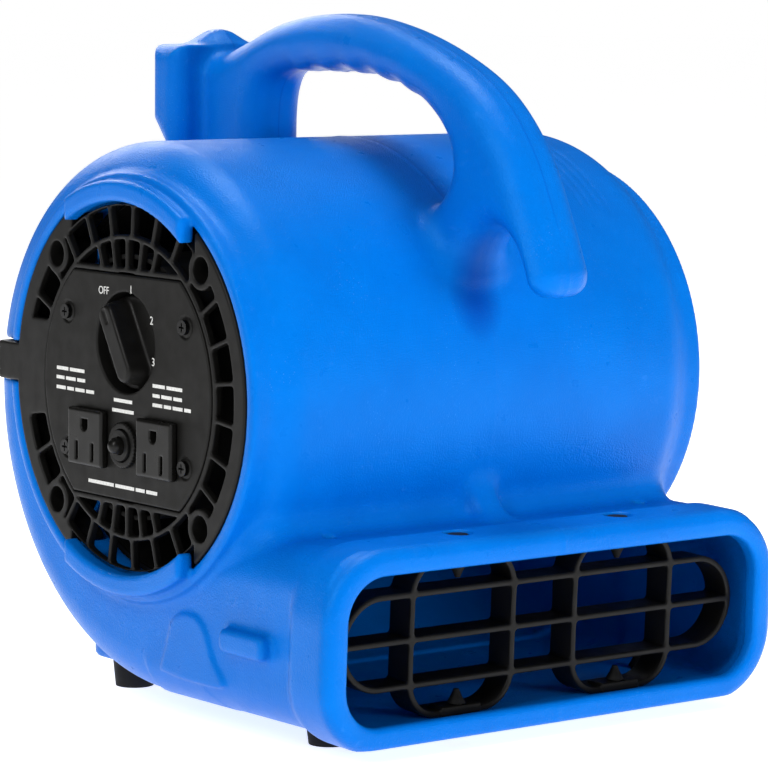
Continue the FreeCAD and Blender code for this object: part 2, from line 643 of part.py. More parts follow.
def make_outlets():
    """Two three-pin receptacles whose faces stand proud of the panel."""
    front = "-panel_face - outlet_proud"
    for side, name in ((1, "rear"), (-1, "front")):
        y = f"{side}*outlet_y"
        face = box(f"face_{name}", ("outlet_proud", "outlet_wide", "outlet_tall"), front,
                   f"{y} - outlet_wide/2", "outlet_z - outlet_tall/2")
        block = box(f"block_{name}", ("26", "outlet_wide - 6", "outlet_tall - 6"), "-panel_face",
                    f"{y} - outlet_wide/2 + 3", "outlet_z - outlet_tall/2 + 3")
        slots = [box(f"slot_{name}_{way}", ("18", "1.9", "8"), f"{front} - 1", f"{y} {way} pin_shift - 0.95",
                     "outlet_z - 10.2") for way in ("+", "-")]
        ground = cylinder(f"ground_{name}", "2.6", "18", f"{front} - 1", y, "outlet_z + 5.7")
        ground_top = box(f"ground_top_{name}", ("18", "5.2", "2.6"), f"{front} - 1", f"{y} - 2.6",
                         "outlet_z + 5.7")
        node(cut(f"outlet_{name}", fuse(f"outlet_{name}_plain", face, block), *slots, ground, ground_top))


def knob_ridge():
    """The raised pointer ridge across the knob: a slanted bar with round ends."""
    tilt = 30.0
    sine, cosine = math.sin(math.radians(tilt)), math.cos(math.radians(tilt))
    start = "-panel_face - ridge_proud"
    bar = DOC.addObject("Part::Box", "knob_ridge")
    bar.setExpression("Length", expr("ridge_depth"))
    bar.setExpression("Width", expr("2*ridge_half"))
    bar.setExpression("Height", expr("2*ridge_reach"))
    place(bar, start, f"-ridge_half*{cosine:.6f} - ridge_reach*{sine:.6f}",
          f"knob_z + ridge_half*{sine:.6f} - ridge_reach*{cosine:.6f}", ((1, 0, 0), -tilt))
    ends = [cylinder(f"ridge_end_{i}", "ridge_half", "ridge_depth", start, f"{way}*ridge_reach*{sine:.6f}",
                     f"knob_z + {way}*ridge_reach*{cosine:.6f}") for i, way in enumerate((-1, 1))]
    return [bar, *ends]


def make_knob():
    """The speed knob with its pointer ridge, the switch shaft and the switch behind the panel."""
    disc = cylinder("knob_disc", "knob_radius", "knob_thick", "-panel_face + 4.5", "0", "knob_z")
    bore = cylinder("knob_bore", "shaft_radius - 1", "8", "-panel_face + 3", "0", "knob_z")
    node(cut("speed_knob", fuse("knob_plain", disc, *knob_ridge()), bore))
    node(cylinder("switch_shaft", "shaft_radius - 1", "10.8", "-panel_face + 3.1", "0", "knob_z"))
    node(box("rotary_switch", ("22", "28", "28"), "-panel_face + well_depth + 2", "-14", "knob_z - 14"))


def make_breaker():
    """The circuit breaker: threaded body, knurled nut and the reset button."""
    nut = tube("nut_ring", "nut_radius", "barrel_radius + 0.4", "nut_thick", "-panel_face - nut_thick", "0",
               "breaker_z")
    grooves = []
    for i in range(KNURLS):
        angle = 2 * math.pi * i / KNURLS
        grooves.append(cylinder(f"knurl_{i}", "0.55", "6", "-panel_face - 4",
                                f"(nut_radius + 0.2)*{math.sin(angle):.6f}",
                                f"breaker_z + (nut_radius + 0.2)*{math.cos(angle):.6f}"))
    node(cut("breaker_nut", nut, *grooves))
    barrel = cylinder("breaker_barrel", "barrel_radius", "10", "-panel_face - 3.4", "0", "breaker_z")
    case = box("breaker_case", ("20", "15", "26"), "-panel_face + 4", "-7.5", "breaker_z - 13")
    bore = cylinder("breaker_bore", "button_radius + 0.4", "12", "-panel_face - 4", "0", "breaker_z")
    node(cut("breaker_body", fuse("breaker_plain", barrel, case), bore))
    stem = cylinder("button_stem", "button_radius", "7", "-panel_face - 5", "0", "breaker_z")
    cap = DOC.addObject("Part::Sphere", "button_cap")
    cap.setExpression("Radius", expr("button_radius"))
    place(cap, "-panel_face - 5", "0", "breaker_z")
    node(fuse("breaker_button", stem, cap))


def make_control_box():
    """The round box behind the panel that holds the switch, outlets, breaker and capacitor."""
    start, depth = "-rim_x + grille_thick", "rim_x - grille_thick - box_back"
    cup = cut("box_cup", cylinder("box_outside", "box_radius", depth, start),
              cylinder("box_inside", "box_radius - box_wall", f"{depth} - box_wall", start))
    posts = [cylinder(f"post_{i}", "4", depth, start, y, z) for i, (y, z) in enumerate(screw_points())]
    pilots = [cylinder(f"pilot_{i}", "1.5", "16", start, y, z) for i, (y, z) in enumerate(screw_points())]
    cord_hole = cylinder("box_cord_hole", "5", "20", "-rim_x + 12", "50", "4", ALONG_Y)
    lead_hole = cylinder("box_lead_hole", "3.2", "10", "-box_back - 5", "0", "-30")
    node(cut("control_box", fuse("box_plain", cup, *posts), *pilots, cord_hole, lead_hole))
    node(box("run_capacitor", ("11", "36", "22"), "-box_back - 14", "-18", "-40"))


# ---------------------------------------------------------------- motor and wheel

def motor_bell(side, start, hollow, seat):
    """One end bell: a cast cup with a ring-shaped hollow, a bearing seat and a shaft hole."""
    outside = cylinder(f"bell_{side}", "motor_radius", "bell_length", start)
    tools = [tube(f"bell_hollow_{side}", "motor_radius - bell_wall", "bearing_radius + bell_wall",
                  "bell_length - 2", hollow),
             cylinder(f"bearing_seat_{side}", "bearing_radius + 0.05", "bell_length - 1.8", seat),
             cylinder(f"bell_hole_{side}", "shaft_radius + 1", "bell_length + 10", f"{start} - 5")]
    if side == "left":
        tools += [cylinder(f"bell_tap_{turn}", "1.8", "10", f"{start} - 1", y, z)
                  for turn, y, z in quarter_points("motor_screw_radius")]
    node(cut(f"motor_end_bell_{side}", outside, *tools))


def make_motor():
    """The induction motor: two end bells, shell, stator, windings, rotor, shaft and bearings."""
    motor_bell("left", "motor_start", "motor_start + bell_wall", "motor_start + bell_wall")
    motor_bell("right", "shell_start + shell_length", "shell_start + shell_length - 1",
               "shell_start + shell_length - 1.2")
    for side, start in (("left", "motor_start + bell_wall"), ("right", "shell_start + shell_length + 5.8")):
        node(tube(f"bearing_{side}", "bearing_radius", "shaft_radius + 0.05", "7", start))
    node(tube("motor_shell", "motor_radius", "motor_radius - 2.5", "shell_length", "shell_start"))
    node(tube("stator_core", "motor_radius - 2.6", "27", "core_length", "core_start"))
    windings = [tube(f"winding_{i}", "42", "30", "7", start)
                for i, start in enumerate(("core_start - 7.1", "core_start + core_length + 0.1"))]
    node(group("stator_windings", *windings))
    node(tube("rotor_core", "26.4", "shaft_radius + 0.05", "core_length", "core_start"))
    node(cylinder("motor_shaft", "shaft_radius", "120", "motor_start + 0.5"))


def make_bracket():
    """The steel motor bracket: a ring plate with four legs that reach the grille's bolts."""
    plane, reach = "motor_start - 2", "fixing_radius - 11"
    tab = "-rim_x + inlet_depth - 0.7"
    pieces = [cylinder("bracket_ring", "44", "2", plane)]
    tools = [cylinder("bracket_hole", "16", "10", f"{plane} - 4"),
             cylinder("bracket_lead_hole", "4", "10", f"{plane} - 4", "0", "-30")]
    for turn, y, z in quarter_points("fixing_radius"):
        pieces.append(swung_box(f"arm_{turn}", ("2", "14", "34"), plane, 38, turn))
        pieces.append(swung_box(f"leg_{turn}", ("26.8", "14", "2.5"), tab, reach, turn))
        pieces.append(swung_box(f"foot_tab_{turn}", ("2", "14", "17"), tab, reach, turn))
        tools.append(cylinder(f"tab_hole_{turn}", "bolt_hole", "10", "-rim_x + 20", y, z))
    for turn, y, z in quarter_points("motor_screw_radius"):
        tools.append(cylinder(f"ring_hole_{turn}", "2", "10", f"{plane} - 4", y, z))
    node(cut("motor_bracket", fuse("bracket_plain", *pieces), *tools))
    node(cylinder("motor_lead", "3", "8", "-box_back", "0", "-30"))


def make_motor_screws():
    """The four screws that hold the motor to its bracket."""
    screws = []
    for turn, y, z in quarter_points("motor_screw_radius"):
        head = cylinder(f"motor_screw_head_{turn}", "3.2", "2.5", "motor_start - 4.5", y, z)
        shank = cylinder(f"motor_screw_shank_{turn}", "1.75", "12", "motor_start - 4", y, z)
        screws.append(fuse(f"motor_screw_{turn}", head, shank))
    node(group("motor_screws", *screws))


def make_wheel():
    """The double-inlet squirrel-cage wheel with its hub and set screw."""
    body, sketch = new_body("wheel_blades", "YZ_Plane")
    inner, outer = val("wheel_eye"), val("wheel_radius") - 0.8
    for i in range(BLADES):
        angle = 2 * math.pi * i / BLADES
        corners = []
        for radius, lead in ((inner, 0.0), (outer, 0.085), (outer, 0.103), (inner, 0.02)):
            corners.append((radius * math.cos(angle + lead), radius * math.sin(angle + lead)))
        chain(sketch, [line(a, b) for a, b in zip(corners, corners[1:] + corners[:1])])
    pad(body, sketch, "wheel_right - wheel_left - 4")
    place(body, "wheel_left + 2", "0", "0")
    rings = [tube(f"wheel_ring_{i}", "wheel_radius", "wheel_eye - 1", "3", start)
             for i, start in enumerate(("wheel_left", "wheel_right - 3"))]
    web = cylinder("wheel_web", "wheel_radius", "3", "hub_x")
    bore = cylinder("wheel_bore", "hub_radius + 0.1", "10", "hub_x - 3")
    node(cut("impeller_wheel", fuse("wheel_plain", body, web, *rings), bore))
    hub = tube("hub_plain", "hub_radius", "shaft_radius + 0.05", "20", "hub_x - 6")
    node(cut("impeller_hub", hub, cylinder("set_screw_hole", "2.5", "20", "hub_x + 9", "0", "3", UPRIGHT)))
    node(cylinder("hub_set_screw", "2.4", "9", "hub_x + 9", "0", "4.2", UPRIGHT))


# ---------------------------------------------------------------- nozzle grille, rivets and feet

def grille_loop(label, half_width, half_height, radius, x="0"):
    """One closed bar of the nozzle grille, given by its outer outline."""
    outer, _ = plate(f"{label}_outer", half_width, half_height, radius, "bar_depth", "grille_front",
                     "grille_drop", x)
    inner, _ = plate(f"{label}_inner", f"{half_width} - bar_thick", f"{half_height} - bar_thick",
                     f"{radius} - bar_thick", "bar_depth + 2", "grille_front + 1", "grille_drop", x)
    return cut(label, outer, inner)


def make_outlet_grille():
    """The nozzle grille: a long horizontal loop with a centre bar and two upright hoops."""
    loops = [grille_loop("long_loop", "loop_half", "row_gap + bar_thick/2", "row_gap + bar_thick/2 - 0.01")]
    centre, _ = plate("centre_bar", "loop_half - bar_thick/2", "bar_thick/2", "0.5", "bar_depth",
                      "grille_front", "grille_drop")
    loops.append(centre)
    blocks, holes = [], []
    for i, side in enumerate((-1, 1)):
        x = f"{side}*hoop_middle"
        loops.append(grille_loop(f"hoop_{i}", "hoop_half_width", "hoop_half_height", "hoop_round", x))
        for name, z in (("low", "-grille_drop - hoop_half_height + 0.4"),
                        ("high", "-grille_drop + hoop_half_height - block_height + 0.2")):
            blocks.append(box(f"block_{name}_{i}", ("22", "11", "block_height"), f"{x} - 11",
                              "-grille_front + 0.2", z))
        for name, z in (("low", "-145"), ("high", "-74")):
            holes.append(cylinder(f"block_hole_{name}_{i}", "rivet_hole", "18", x, "-rivet_y", z, UPRIGHT))
    node(cut("outlet_grille", fuse("outlet_grille_plain", *loops, *blocks), *holes))


def push_rivet(label, x, y, z, grip, up):
    """A push rivet: flat head, shank through the grip, a barb and a blunt tip."""
    way = 1 if up else -1
    turn = UPRIGHT if up else ((1, 0, 0), 180)
    head = cone(f"{label}_head", "rivet_head", "rivet_head - 1.6", "rivet_thick", x, y, z,
                ((1, 0, 0), 180 if up else 0))
    shank = cylinder(f"{label}_shank", "rivet_shank", f"{grip} + 1", x, y, f"{z} - {way * 0.5}", turn)
    barb = cone(f"{label}_barb", "rivet_hole + 1", "rivet_shank - 0.4", "3", x, y,
                f"{z} + {way}*({grip} + 0.3)", turn)
    tip = cone(f"{label}_tip", "rivet_shank - 0.1", "1.2", "4", x, y, f"{z} + {way}*({grip} + 2.5)", turn)
    return fuse(label, head, shank, barb, tip)


def make_rivets():
    """The push rivets that hold the nozzle grille at its top and bottom."""
    top = f"{BOTTOM} + nozzle_height"
    for name, z, grip, up in (("bottom", BOTTOM, "7.9", True), ("top", top, "10.8", False)):
        rivets = [push_rivet(f"rivet_{name}_{i}", f"{side}*hoop_middle", "-rivet_y", z, grip, up)
                  for i, side in enumerate((-1, 1))]
        node(group(f"grille_rivets_{name}", *rivets))


def make_feet():
    """Tapered rubber feet, longer at the back, each held by its own push rivet."""
    feet, rivets = {"0": [], "rear_lift": []}, []
    for i, (x, y, lift) in enumerate(foot_points()):
        height = f"axis_z + ({BOTTOM}) + {lift}"
        blank = cone(f"foot_blank_{i}", "foot_bottom", "foot_top", height, x, y, "-axis_z")
        well = cylinder(f"foot_well_{i}", "foot_well", f"4 + {lift}", x, y, "-axis_z - 1", UPRIGHT)
        hole = cylinder(f"foot_way_{i}", "rivet_hole", "30", x, y, "-axis_z - 1", UPRIGHT)
        feet[lift].append(cut(f"foot_{i}", blank, well, hole))
        rivets.append(push_rivet(f"foot_rivet_{i}", x, y, f"-axis_z + 2.95 + {lift}", "11.2", True))
    node(group("front_feet", *feet["0"]))
    node(group("rear_feet", *feet["rear_lift"]))
    node(group("foot_rivets", *rivets))


def check_and_write():
    """Stop on any failed object or bad shape, then write one file per node."""
    DOC.recompute()
    failed = [thing.Label for thing in DOC.Objects if {"Invalid", "Error"} & set(thing.State)]
    if failed:
        raise RuntimeError(f"failed objects: {failed}")
    bad = [thing.Label for thing in NODES if thing.Shape.isNull() or not thing.Shape.isValid()]
    if bad:
        raise RuntimeError(f"bad shapes: {bad}")
    os.makedirs("parts", exist_ok=True)
    for thing in NODES:
        thing.Shape.exportStep(f"parts/{thing.Label}.step")
        print(f"{thing.Label:22s} {len(thing.Shape.Solids):2d} solids {thing.Shape.Volume / 1000:8.2f} cc")


make_housing()
make_inlet_cone()
make_left_grille()
make_right_grille()
make_grille_fixings()
make_control_panel()
make_panel_screws()
make_outlets()
make_knob()
make_breaker()
make_control_box()
make_motor()
make_bracket()
make_motor_screws()
make_wheel()
make_outlet_grille()
make_rivets()
make_feet()
check_and_write()
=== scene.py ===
"""Visual model of a compact portable blower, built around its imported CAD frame.

Each shape is a field of distances, in millimetres from the fan axis and the mid-plane. Distances are below
zero inside the shape, and the surface at zero becomes a mesh.
"""
import math

import bpy
import numpy as np
import openvdb
from mathutils import Matrix, Vector


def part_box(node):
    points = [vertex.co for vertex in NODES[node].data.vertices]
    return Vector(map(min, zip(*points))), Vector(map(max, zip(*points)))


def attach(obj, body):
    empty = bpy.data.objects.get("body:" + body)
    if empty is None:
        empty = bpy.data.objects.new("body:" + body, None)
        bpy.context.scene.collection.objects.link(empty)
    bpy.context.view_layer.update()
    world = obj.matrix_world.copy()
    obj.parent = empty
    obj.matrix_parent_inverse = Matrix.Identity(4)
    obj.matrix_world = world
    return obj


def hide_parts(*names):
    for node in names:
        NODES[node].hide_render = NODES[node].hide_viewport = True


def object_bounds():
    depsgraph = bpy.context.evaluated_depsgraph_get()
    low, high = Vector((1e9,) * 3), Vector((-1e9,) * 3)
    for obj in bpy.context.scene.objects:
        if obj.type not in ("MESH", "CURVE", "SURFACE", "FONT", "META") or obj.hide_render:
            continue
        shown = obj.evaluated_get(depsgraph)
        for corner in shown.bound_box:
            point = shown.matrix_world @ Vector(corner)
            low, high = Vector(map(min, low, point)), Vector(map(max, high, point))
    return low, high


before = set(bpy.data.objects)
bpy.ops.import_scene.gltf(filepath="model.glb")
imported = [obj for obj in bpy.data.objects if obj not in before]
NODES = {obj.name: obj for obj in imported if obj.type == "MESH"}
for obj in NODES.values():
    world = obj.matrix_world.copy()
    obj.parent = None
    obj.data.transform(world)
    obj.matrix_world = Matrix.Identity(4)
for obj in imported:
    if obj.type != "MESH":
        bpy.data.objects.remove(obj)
CAD_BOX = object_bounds()

MM = 0.001
SHAFT_LOW, SHAFT_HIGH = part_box("motor_shaft")
MIDDLE = (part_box("left_intake_grille")[0].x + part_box("right_intake_grille")[1].x) / 2
AXIS = Vector((MIDDLE, (SHAFT_LOW.y + SHAFT_HIGH.y) / 2, (SHAFT_LOW.z + SHAFT_HIGH.z) / 2))

# Spacing of the distances in millimetres, for large and for small pieces.
HOUSING_STEP = 1.25
GRILLE_STEP = 0.6
DETAIL_STEP = 0.45
FINE_STEP = 0.3

# Main measures of the blower, in millimetres from the fan axis and the mid-plane.
HALF_WIDTH = 127
RIM_RADIUS, RIM_HALF_WIDTH = 97, 131
WALL = 3.2
FLOOR = -139.7
NOZZLE_MIDDLE, NOZZLE_TOP = -99.1, -58.5
LIP_FRONT, LIP_MIDDLE, LIP_TILT = -149.5, -101.68, math.radians(2.3)
GRILLE_FRONT, GRILLE_MIDDLE = -137.65, -100.3
RIVET_X, RIVET_Y = 46.6, -133.0
FRONT_FOOT, REAR_FOOT = (91.0, -99.5), (85.0, 60.0)
BOLT_OUT = 80.5
TAB_HEIGHT = 4
WEB_HALF = 1.1

# Measures of the control panel. Heights and sides are from the fan axis.
PANEL_FACE = -131.5
PANEL_RADIUS, PANEL_HALF_HEIGHT = 66, 51
KNOB_HEIGHT, KNOB_TILT = 20.4, math.radians(30)
BREAKER_HEIGHT = -25.8
OUTLET_SIDE, OUTLET_HEIGHT = 27.35, -24.8
SCREW_SIDE, SCREW_HEIGHT = 46.5, 31.2


# ---------------------------------------------------------------- distances

class Field:
    """A block of space in which distances are worked out, in millimetres from the fan axis."""

    def __init__(self, low, high, step):
        self.low, self.step = low, step
        axes = [np.arange(int(math.ceil((b - a) / step)) + 1, dtype=np.float32) * step + a
                for a, b in zip(low, high)]
        self.x = axes[0].astype(np.float32)[:, None, None]
        self.y = axes[1].astype(np.float32)[None, :, None]
        self.z = axes[2].astype(np.float32)[None, None, :]
        self.shape = tuple(len(a) for a in axes)

    def piece(self, name, distance, body, material, *replaced):
        """The surface where the distance is zero, as a smooth-shaded piece that rides on a body."""
        volume = openvdb.FloatGrid(5.0 * self.step)
        volume.copyFromArray(np.array(np.broadcast_to(distance, self.shape), dtype=np.float32, order="C"))
        points, _, quads = volume.convertToPolygons(isovalue=0.0, adaptivity=0.0)
        points = points.astype(np.float64) * self.step + np.array(self.low)
        points = points * MM + np.array(AXIS)
        quads = quads.astype(np.int32)
        corners = points[quads]
        volume_sign = np.einsum("ij,ij->i", corners[:, 0], np.cross(corners[:, 1], corners[:, 2])).sum()
        if volume_sign < 0:
            quads = quads[:, ::-1]
        mesh = bpy.data.meshes.new(name)
        mesh.vertices.add(len(points))
        mesh.vertices.foreach_set("co", points.astype(np.float32).ravel())
        mesh.loops.add(quads.size)
        mesh.loops.foreach_set("vertex_index", np.ascontiguousarray(quads).ravel())
        mesh.polygons.add(len(quads))
        mesh.polygons.foreach_set("loop_start", np.arange(0, quads.size, 4, dtype=np.int32))
        mesh.update(calc_edges=True)
        mesh.validate()
        mesh.polygons.foreach_set("use_smooth", np.ones(len(mesh.polygons), dtype=bool))
        mesh.materials.append(material)
        add_piece(name, mesh, body, *replaced)


def add_piece(name, mesh, body, *replaced):
    """Put a finished mesh in the scene, on its body, in place of the CAD nodes it stands for."""
    thing = bpy.data.objects.new(name, mesh)
    bpy.context.scene.collection.objects.link(thing)
    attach(thing, body)
    if replaced:
        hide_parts(*replaced)


def rectangle(a, b, half_a, half_b, radius=0.0):
    """Distance to a rectangle with rounded corners."""
    da, db = np.abs(a) - (half_a - radius), np.abs(b) - (half_b - radius)
    return np.hypot(np.maximum(da, 0), np.maximum(db, 0)) + np.minimum(np.maximum(da, db), 0) - radius


def raised(flat, along, middle, half, radius=0.0):
    """Distance to a flat outline carried along an axis, with rounded edges."""
    side, end = flat + radius, np.abs(along - middle) - (half - radius)
    return np.hypot(np.maximum(side, 0), np.maximum(end, 0)) + np.minimum(np.maximum(side, end), 0) - radius


def join(a, b, radius=0.0):
    """Both shapes, with a hollow fillet where they meet."""
    if np.isscalar(radius) and radius == 0:
        return np.minimum(a, b)
    u, v = np.maximum(radius - a, 0), np.maximum(radius - b, 0)
    return np.maximum(radius, np.minimum(a, b)) - np.hypot(u, v)


def carve(a, b, radius=0.0):
    """The first shape less the second, with a rounded edge between them."""
    if radius == 0:
        return np.maximum(a, -b)
    u, v = np.maximum(radius + a, 0), np.maximum(radius - b, 0)
    return np.minimum(-radius, np.maximum(a, -b)) + np.hypot(u, v)


def outline(points, a, b):
    """Signed distance to a closed line of points, on two crossed axes."""
    a, b = np.squeeze(a)[:, None], np.squeeze(b)[None, :]
    best = np.full((a.size, b.size), 1e9, dtype=np.float32)
    inside = np.zeros(best.shape, dtype=bool)
    for (pa, pb), (qa, qb) in zip(points, points[1:] + points[:1]):
        ea, eb = qa - pa, qb - pb
        along = np.clip(((a - pa) * ea + (b - pb) * eb) / max(ea * ea + eb * eb, 1e-9), 0, 1)
        best = np.minimum(best, (a - pa - along * ea) ** 2 + (b - pb - along * eb) ** 2)
        if pb != qb:
            inside ^= ((pb > b) != (qb > b)) & (a < ea * (b - pb) / eb + pa)
    return np.where(inside, -1, 1).astype(np.float32) * np.sqrt(best)


def arc_points(centre, radius, start, end, step=2.0):
    """Points along an arc, its angles in degrees."""
    count = max(2, int(abs(end - start) / step) + 1)
    return [(centre[0] + radius * math.cos(math.radians(t)), centre[1] + radius * math.sin(math.radians(t)))
            for t in np.linspace(start, end, count)]


def smooth_points(points, count=10):
    """Points along a smooth line through the given ones."""
    p = np.array(points, float)
    reach = np.concatenate([[0], np.cumsum(np.hypot(*np.diff(p, axis=0).T))])
    slope = np.empty_like(p)
    slope[1:-1] = (p[2:] - p[:-2]) / (reach[2:] - reach[:-2])[:, None]
    slope[0] = 1.5 * (p[1] - p[0]) / (reach[1] - reach[0]) - 0.5 * slope[1]
    slope[-1] = 1.5 * (p[-1] - p[-2]) / (reach[-1] - reach[-2]) - 0.5 * slope[-2]
    line = []
    for i in range(len(p) - 1):
        h = reach[i + 1] - reach[i]
        for s in np.arange(count) / count:
            a, b = (1 + 2 * s) * (1 - s) ** 2, s * (1 - s) ** 2
            c, d = s * s * (3 - 2 * s), s * s * (s - 1)
            line.append(tuple(a * p[i] + b * h * slope[i] + c * p[i + 1] + d * h * slope[i + 1]))
    return line + [tuple(p[-1])]


def quarter_axes(y, z):
    """Distance out along, and across, the nearest 45 degree line."""
    return (np.abs(y) + np.abs(z)) * math.sqrt(0.5), (np.abs(y) - np.abs(z)) * math.sqrt(0.5)


def ridge(offset, width):
    """A soft line across an axis: 1 on the line, 0 away from it."""
    return np.exp(-(offset / width) ** 2)


# ---------------------------------------------------------------- materials

class Finish:
    """A node material with one Principled shader and short ways to wire its inputs."""

    def __init__(self, name, roughness=0.5, metallic=0.0, coat=0.0, specular=0.5):
        self.material = bpy.data.materials.new(name)
        self.material.use_nodes = True
        self.tree = self.material.node_tree
        self.shader = self.tree.nodes["Principled BSDF"]
        self.shader.inputs["Roughness"].default_value = roughness
        self.shader.inputs["Metallic"].default_value = metallic
        self.shader.inputs["Coat Weight"].default_value = coat
        self.shader.inputs["Specular IOR Level"].default_value = specular
        self.place = self.tree.nodes.new("ShaderNodeTexCoord").outputs["Object"]
        self.bump = None

    def stretched(self, scale):
        node = self.tree.nodes.new("ShaderNodeMapping")
        node.inputs["Scale"].default_value = scale
        self.tree.links.new(self.place, node.inputs["Vector"])
        return node.outputs["Vector"]

    def noise(self, scale, detail=2.0, rough=0.5, vector=None, distortion=0.0):
        node = self.tree.nodes.new("ShaderNodeTexNoise")
        node.inputs["Scale"].default_value = scale
        node.inputs["Detail"].default_value = detail
        node.inputs["Roughness"].default_value = rough
        node.inputs["Distortion"].default_value = distortion
        self.tree.links.new(vector or self.place, node.inputs["Vector"])
        return node.outputs["Fac"]

    def cells(self, scale):
        node = self.tree.nodes.new("ShaderNodeTexVoronoi")
        node.inputs["Scale"].default_value = scale
        self.tree.links.new(self.place, node.inputs["Vector"])
        return node.outputs["Distance"]

    def span(self, value, low, high, to_low=0.0, to_high=1.0):
        node = self.tree.nodes.new("ShaderNodeMapRange")
        for name, number in (("From Min", low), ("From Max", high), ("To Min", to_low), ("To Max", to_high)):
            node.inputs[name].default_value = number
        self.tree.links.new(value, node.inputs["Value"])
        return node.outputs["Result"]

    def times(self, a, b):
        node = self.tree.nodes.new("ShaderNodeMath")
        node.operation = "MULTIPLY"
        self.tree.links.new(a, node.inputs[0])
        if isinstance(b, float):
            node.inputs[1].default_value = b
        else:
            self.tree.links.new(b, node.inputs[1])
        return node.outputs["Value"]

    def blend(self, factor, a, b):
        node = self.tree.nodes.new("ShaderNodeMix")
        node.data_type = "RGBA"
        self.tree.links.new(factor, node.inputs["Factor"])
        for socket, colour in ((node.inputs["A"], a), (node.inputs["B"], b)):
            if isinstance(colour, tuple):
                socket.default_value = (*colour, 1.0)
            else:
                self.tree.links.new(colour, socket)
        return node.outputs["Result"]

    def seam(self, width, low, high):
        """1 on the mid-plane line, fading out over a width and below a height."""
        split = self.tree.nodes.new("ShaderNodeSeparateXYZ")
        self.tree.links.new(self.place, split.inputs["Vector"])
        gap = self.tree.nodes.new("ShaderNodeMath")
        gap.operation = "COMPARE"
        gap.inputs[1].default_value, gap.inputs[2].default_value = AXIS.x, width
        self.tree.links.new(split.outputs["X"], gap.inputs[0])
        return self.times(gap.outputs["Value"], self.span(split.outputs["Z"], low, high))

    def patch(self, centre, size):
        """1 inside a soft ellipsoid given in millimetres from the fan axis, 0 outside it."""
        away = self.tree.nodes.new("ShaderNodeVectorMath")
        away.operation = "SUBTRACT"
        away.inputs[1].default_value = AXIS + Vector(centre) * MM
        self.tree.links.new(self.place, away.inputs[0])
        share = self.tree.nodes.new("ShaderNodeVectorMath")
        share.operation = "DIVIDE"
        share.inputs[1].default_value = Vector(size) * MM
        self.tree.links.new(away.outputs["Vector"], share.inputs[0])
        reach = self.tree.nodes.new("ShaderNodeVectorMath")
        reach.operation = "LENGTH"
        self.tree.links.new(share.outputs["Vector"], reach.inputs[0])
        return self.span(reach.outputs["Value"], 1.2, 0.55)

    def edges(self, low=0.52, high=0.62):
        """1 on outward edges, 0 elsewhere."""
        node = self.tree.nodes.new("ShaderNodeNewGeometry")
        return self.span(node.outputs["Pointiness"], low, high)

    def colour(self, value):
        self.tree.links.new(value, self.shader.inputs["Base Color"])
        return self

    def roughness(self, value):
        self.tree.links.new(value, self.shader.inputs["Roughness"])
        return self

    def relief(self, height, strength, distance):
        node = self.tree.nodes.new("ShaderNodeBump")
        node.inputs["Strength"].default_value = strength
        node.inputs["Distance"].default_value = distance
        self.tree.links.new(height, node.inputs["Height"])
        if self.bump is not None:
            self.tree.links.new(self.bump, node.inputs["Normal"])
        self.bump = node.outputs["Normal"]
        self.tree.links.new(self.bump, self.shader.inputs["Normal"])
        return self

    def soft_edges(self, radius):
        """Round the look of hard CAD edges by a small radius."""
        node = self.tree.nodes.new("ShaderNodeBevel")
        node.samples = 4
        node.inputs["Radius"].default_value = radius
        self.bump = node.outputs["Normal"]
        self.tree.links.new(self.bump, self.shader.inputs["Normal"])
        return self


def blue_plastic():
    """Rotomoulded polyethylene: deep blue, faintly mottled, with a sparkling grain, pale scuffs, painted
    glints and a patch of painted shade under the handle's hook.
    """
    f = Finish("blue_polyethylene", specular=0.26)
    f.shader.inputs["Specular Tint"].default_value = (0.15, 0.58, 1.0, 1.0)
    mottle = f.span(f.noise(30.0, 5.0, 0.6), 0.3, 0.7)
    base = f.blend(mottle, (0.0, 0.128, 0.54), (0.0, 0.148, 0.60))
    scuff = f.times(f.span(f.noise(240.0, 4.0, 0.7, f.stretched((1.0, 0.35, 1.0)), 0.6), 0.60, 0.74),
                    f.span(f.noise(22.0, 2.0), 0.46, 0.60, 0.0, 0.22))
    base = f.blend(scuff, base, (0.05, 0.24, 0.76))
    # Painted glints: small pale blue specks stand in for the sparkle of highlights on the grain.
    painted_glints = f.times(f.span(f.cells(620.0), 0.16, 0.06), f.span(f.noise(38.0, 2.0), 0.50, 0.66, 0.0, 0.45))
    base = f.blend(painted_glints, base, (0.13, 0.36, 0.84))
    seam = f.seam(0.00045, AXIS.z + 0.07, AXIS.z + 0.09)
    base = f.blend(f.times(seam, 0.35), base, (0.0, 0.06, 0.40))
    # Painted shade: a dark soft patch on the drum below the handle's hook, where the hook shades it.
    painted_shade_under_hook = f.patch((-6.0, -102.0, 48.0), (15.0, 14.0, 22.0))
    f.colour(f.blend(f.times(painted_shade_under_hook, 0.85), base, (0.0, 0.030, 0.28)))
    f.roughness(f.span(f.noise(90.0, 4.0), 0.3, 0.7, 0.27, 0.38))
    f.relief(f.noise(85.0, 2.0), 0.08, 0.0010)
    f.relief(f.noise(1300.0, 2.0, 0.6), 0.6, 0.00045)
    return f.material


def black_plastic(name, shade, rough, grain=1600.0, strength=0.2, bevel=0.0):
    """Injection-moulded black plastic with a fine grain, dusty patches and pale worn edges."""
    f = Finish(name, specular=0.2)
    if bevel:
        f.soft_edges(bevel)
    dust = f.span(f.noise(70.0, 4.0, 0.6), 0.35, 0.75)
    base = f.blend(dust, tuple(c * 0.8 for c in shade), tuple(c * 1.35 for c in shade))
    f.colour(f.blend(f.times(f.edges(), 0.5), base, tuple(c * 4.0 for c in shade)))
    f.roughness(f.span(f.noise(140.0, 3.0), 0.3, 0.7, rough - 0.06, rough + 0.08))
    f.relief(f.noise(grain, 2.0), strength, 0.0002)
    return f.material


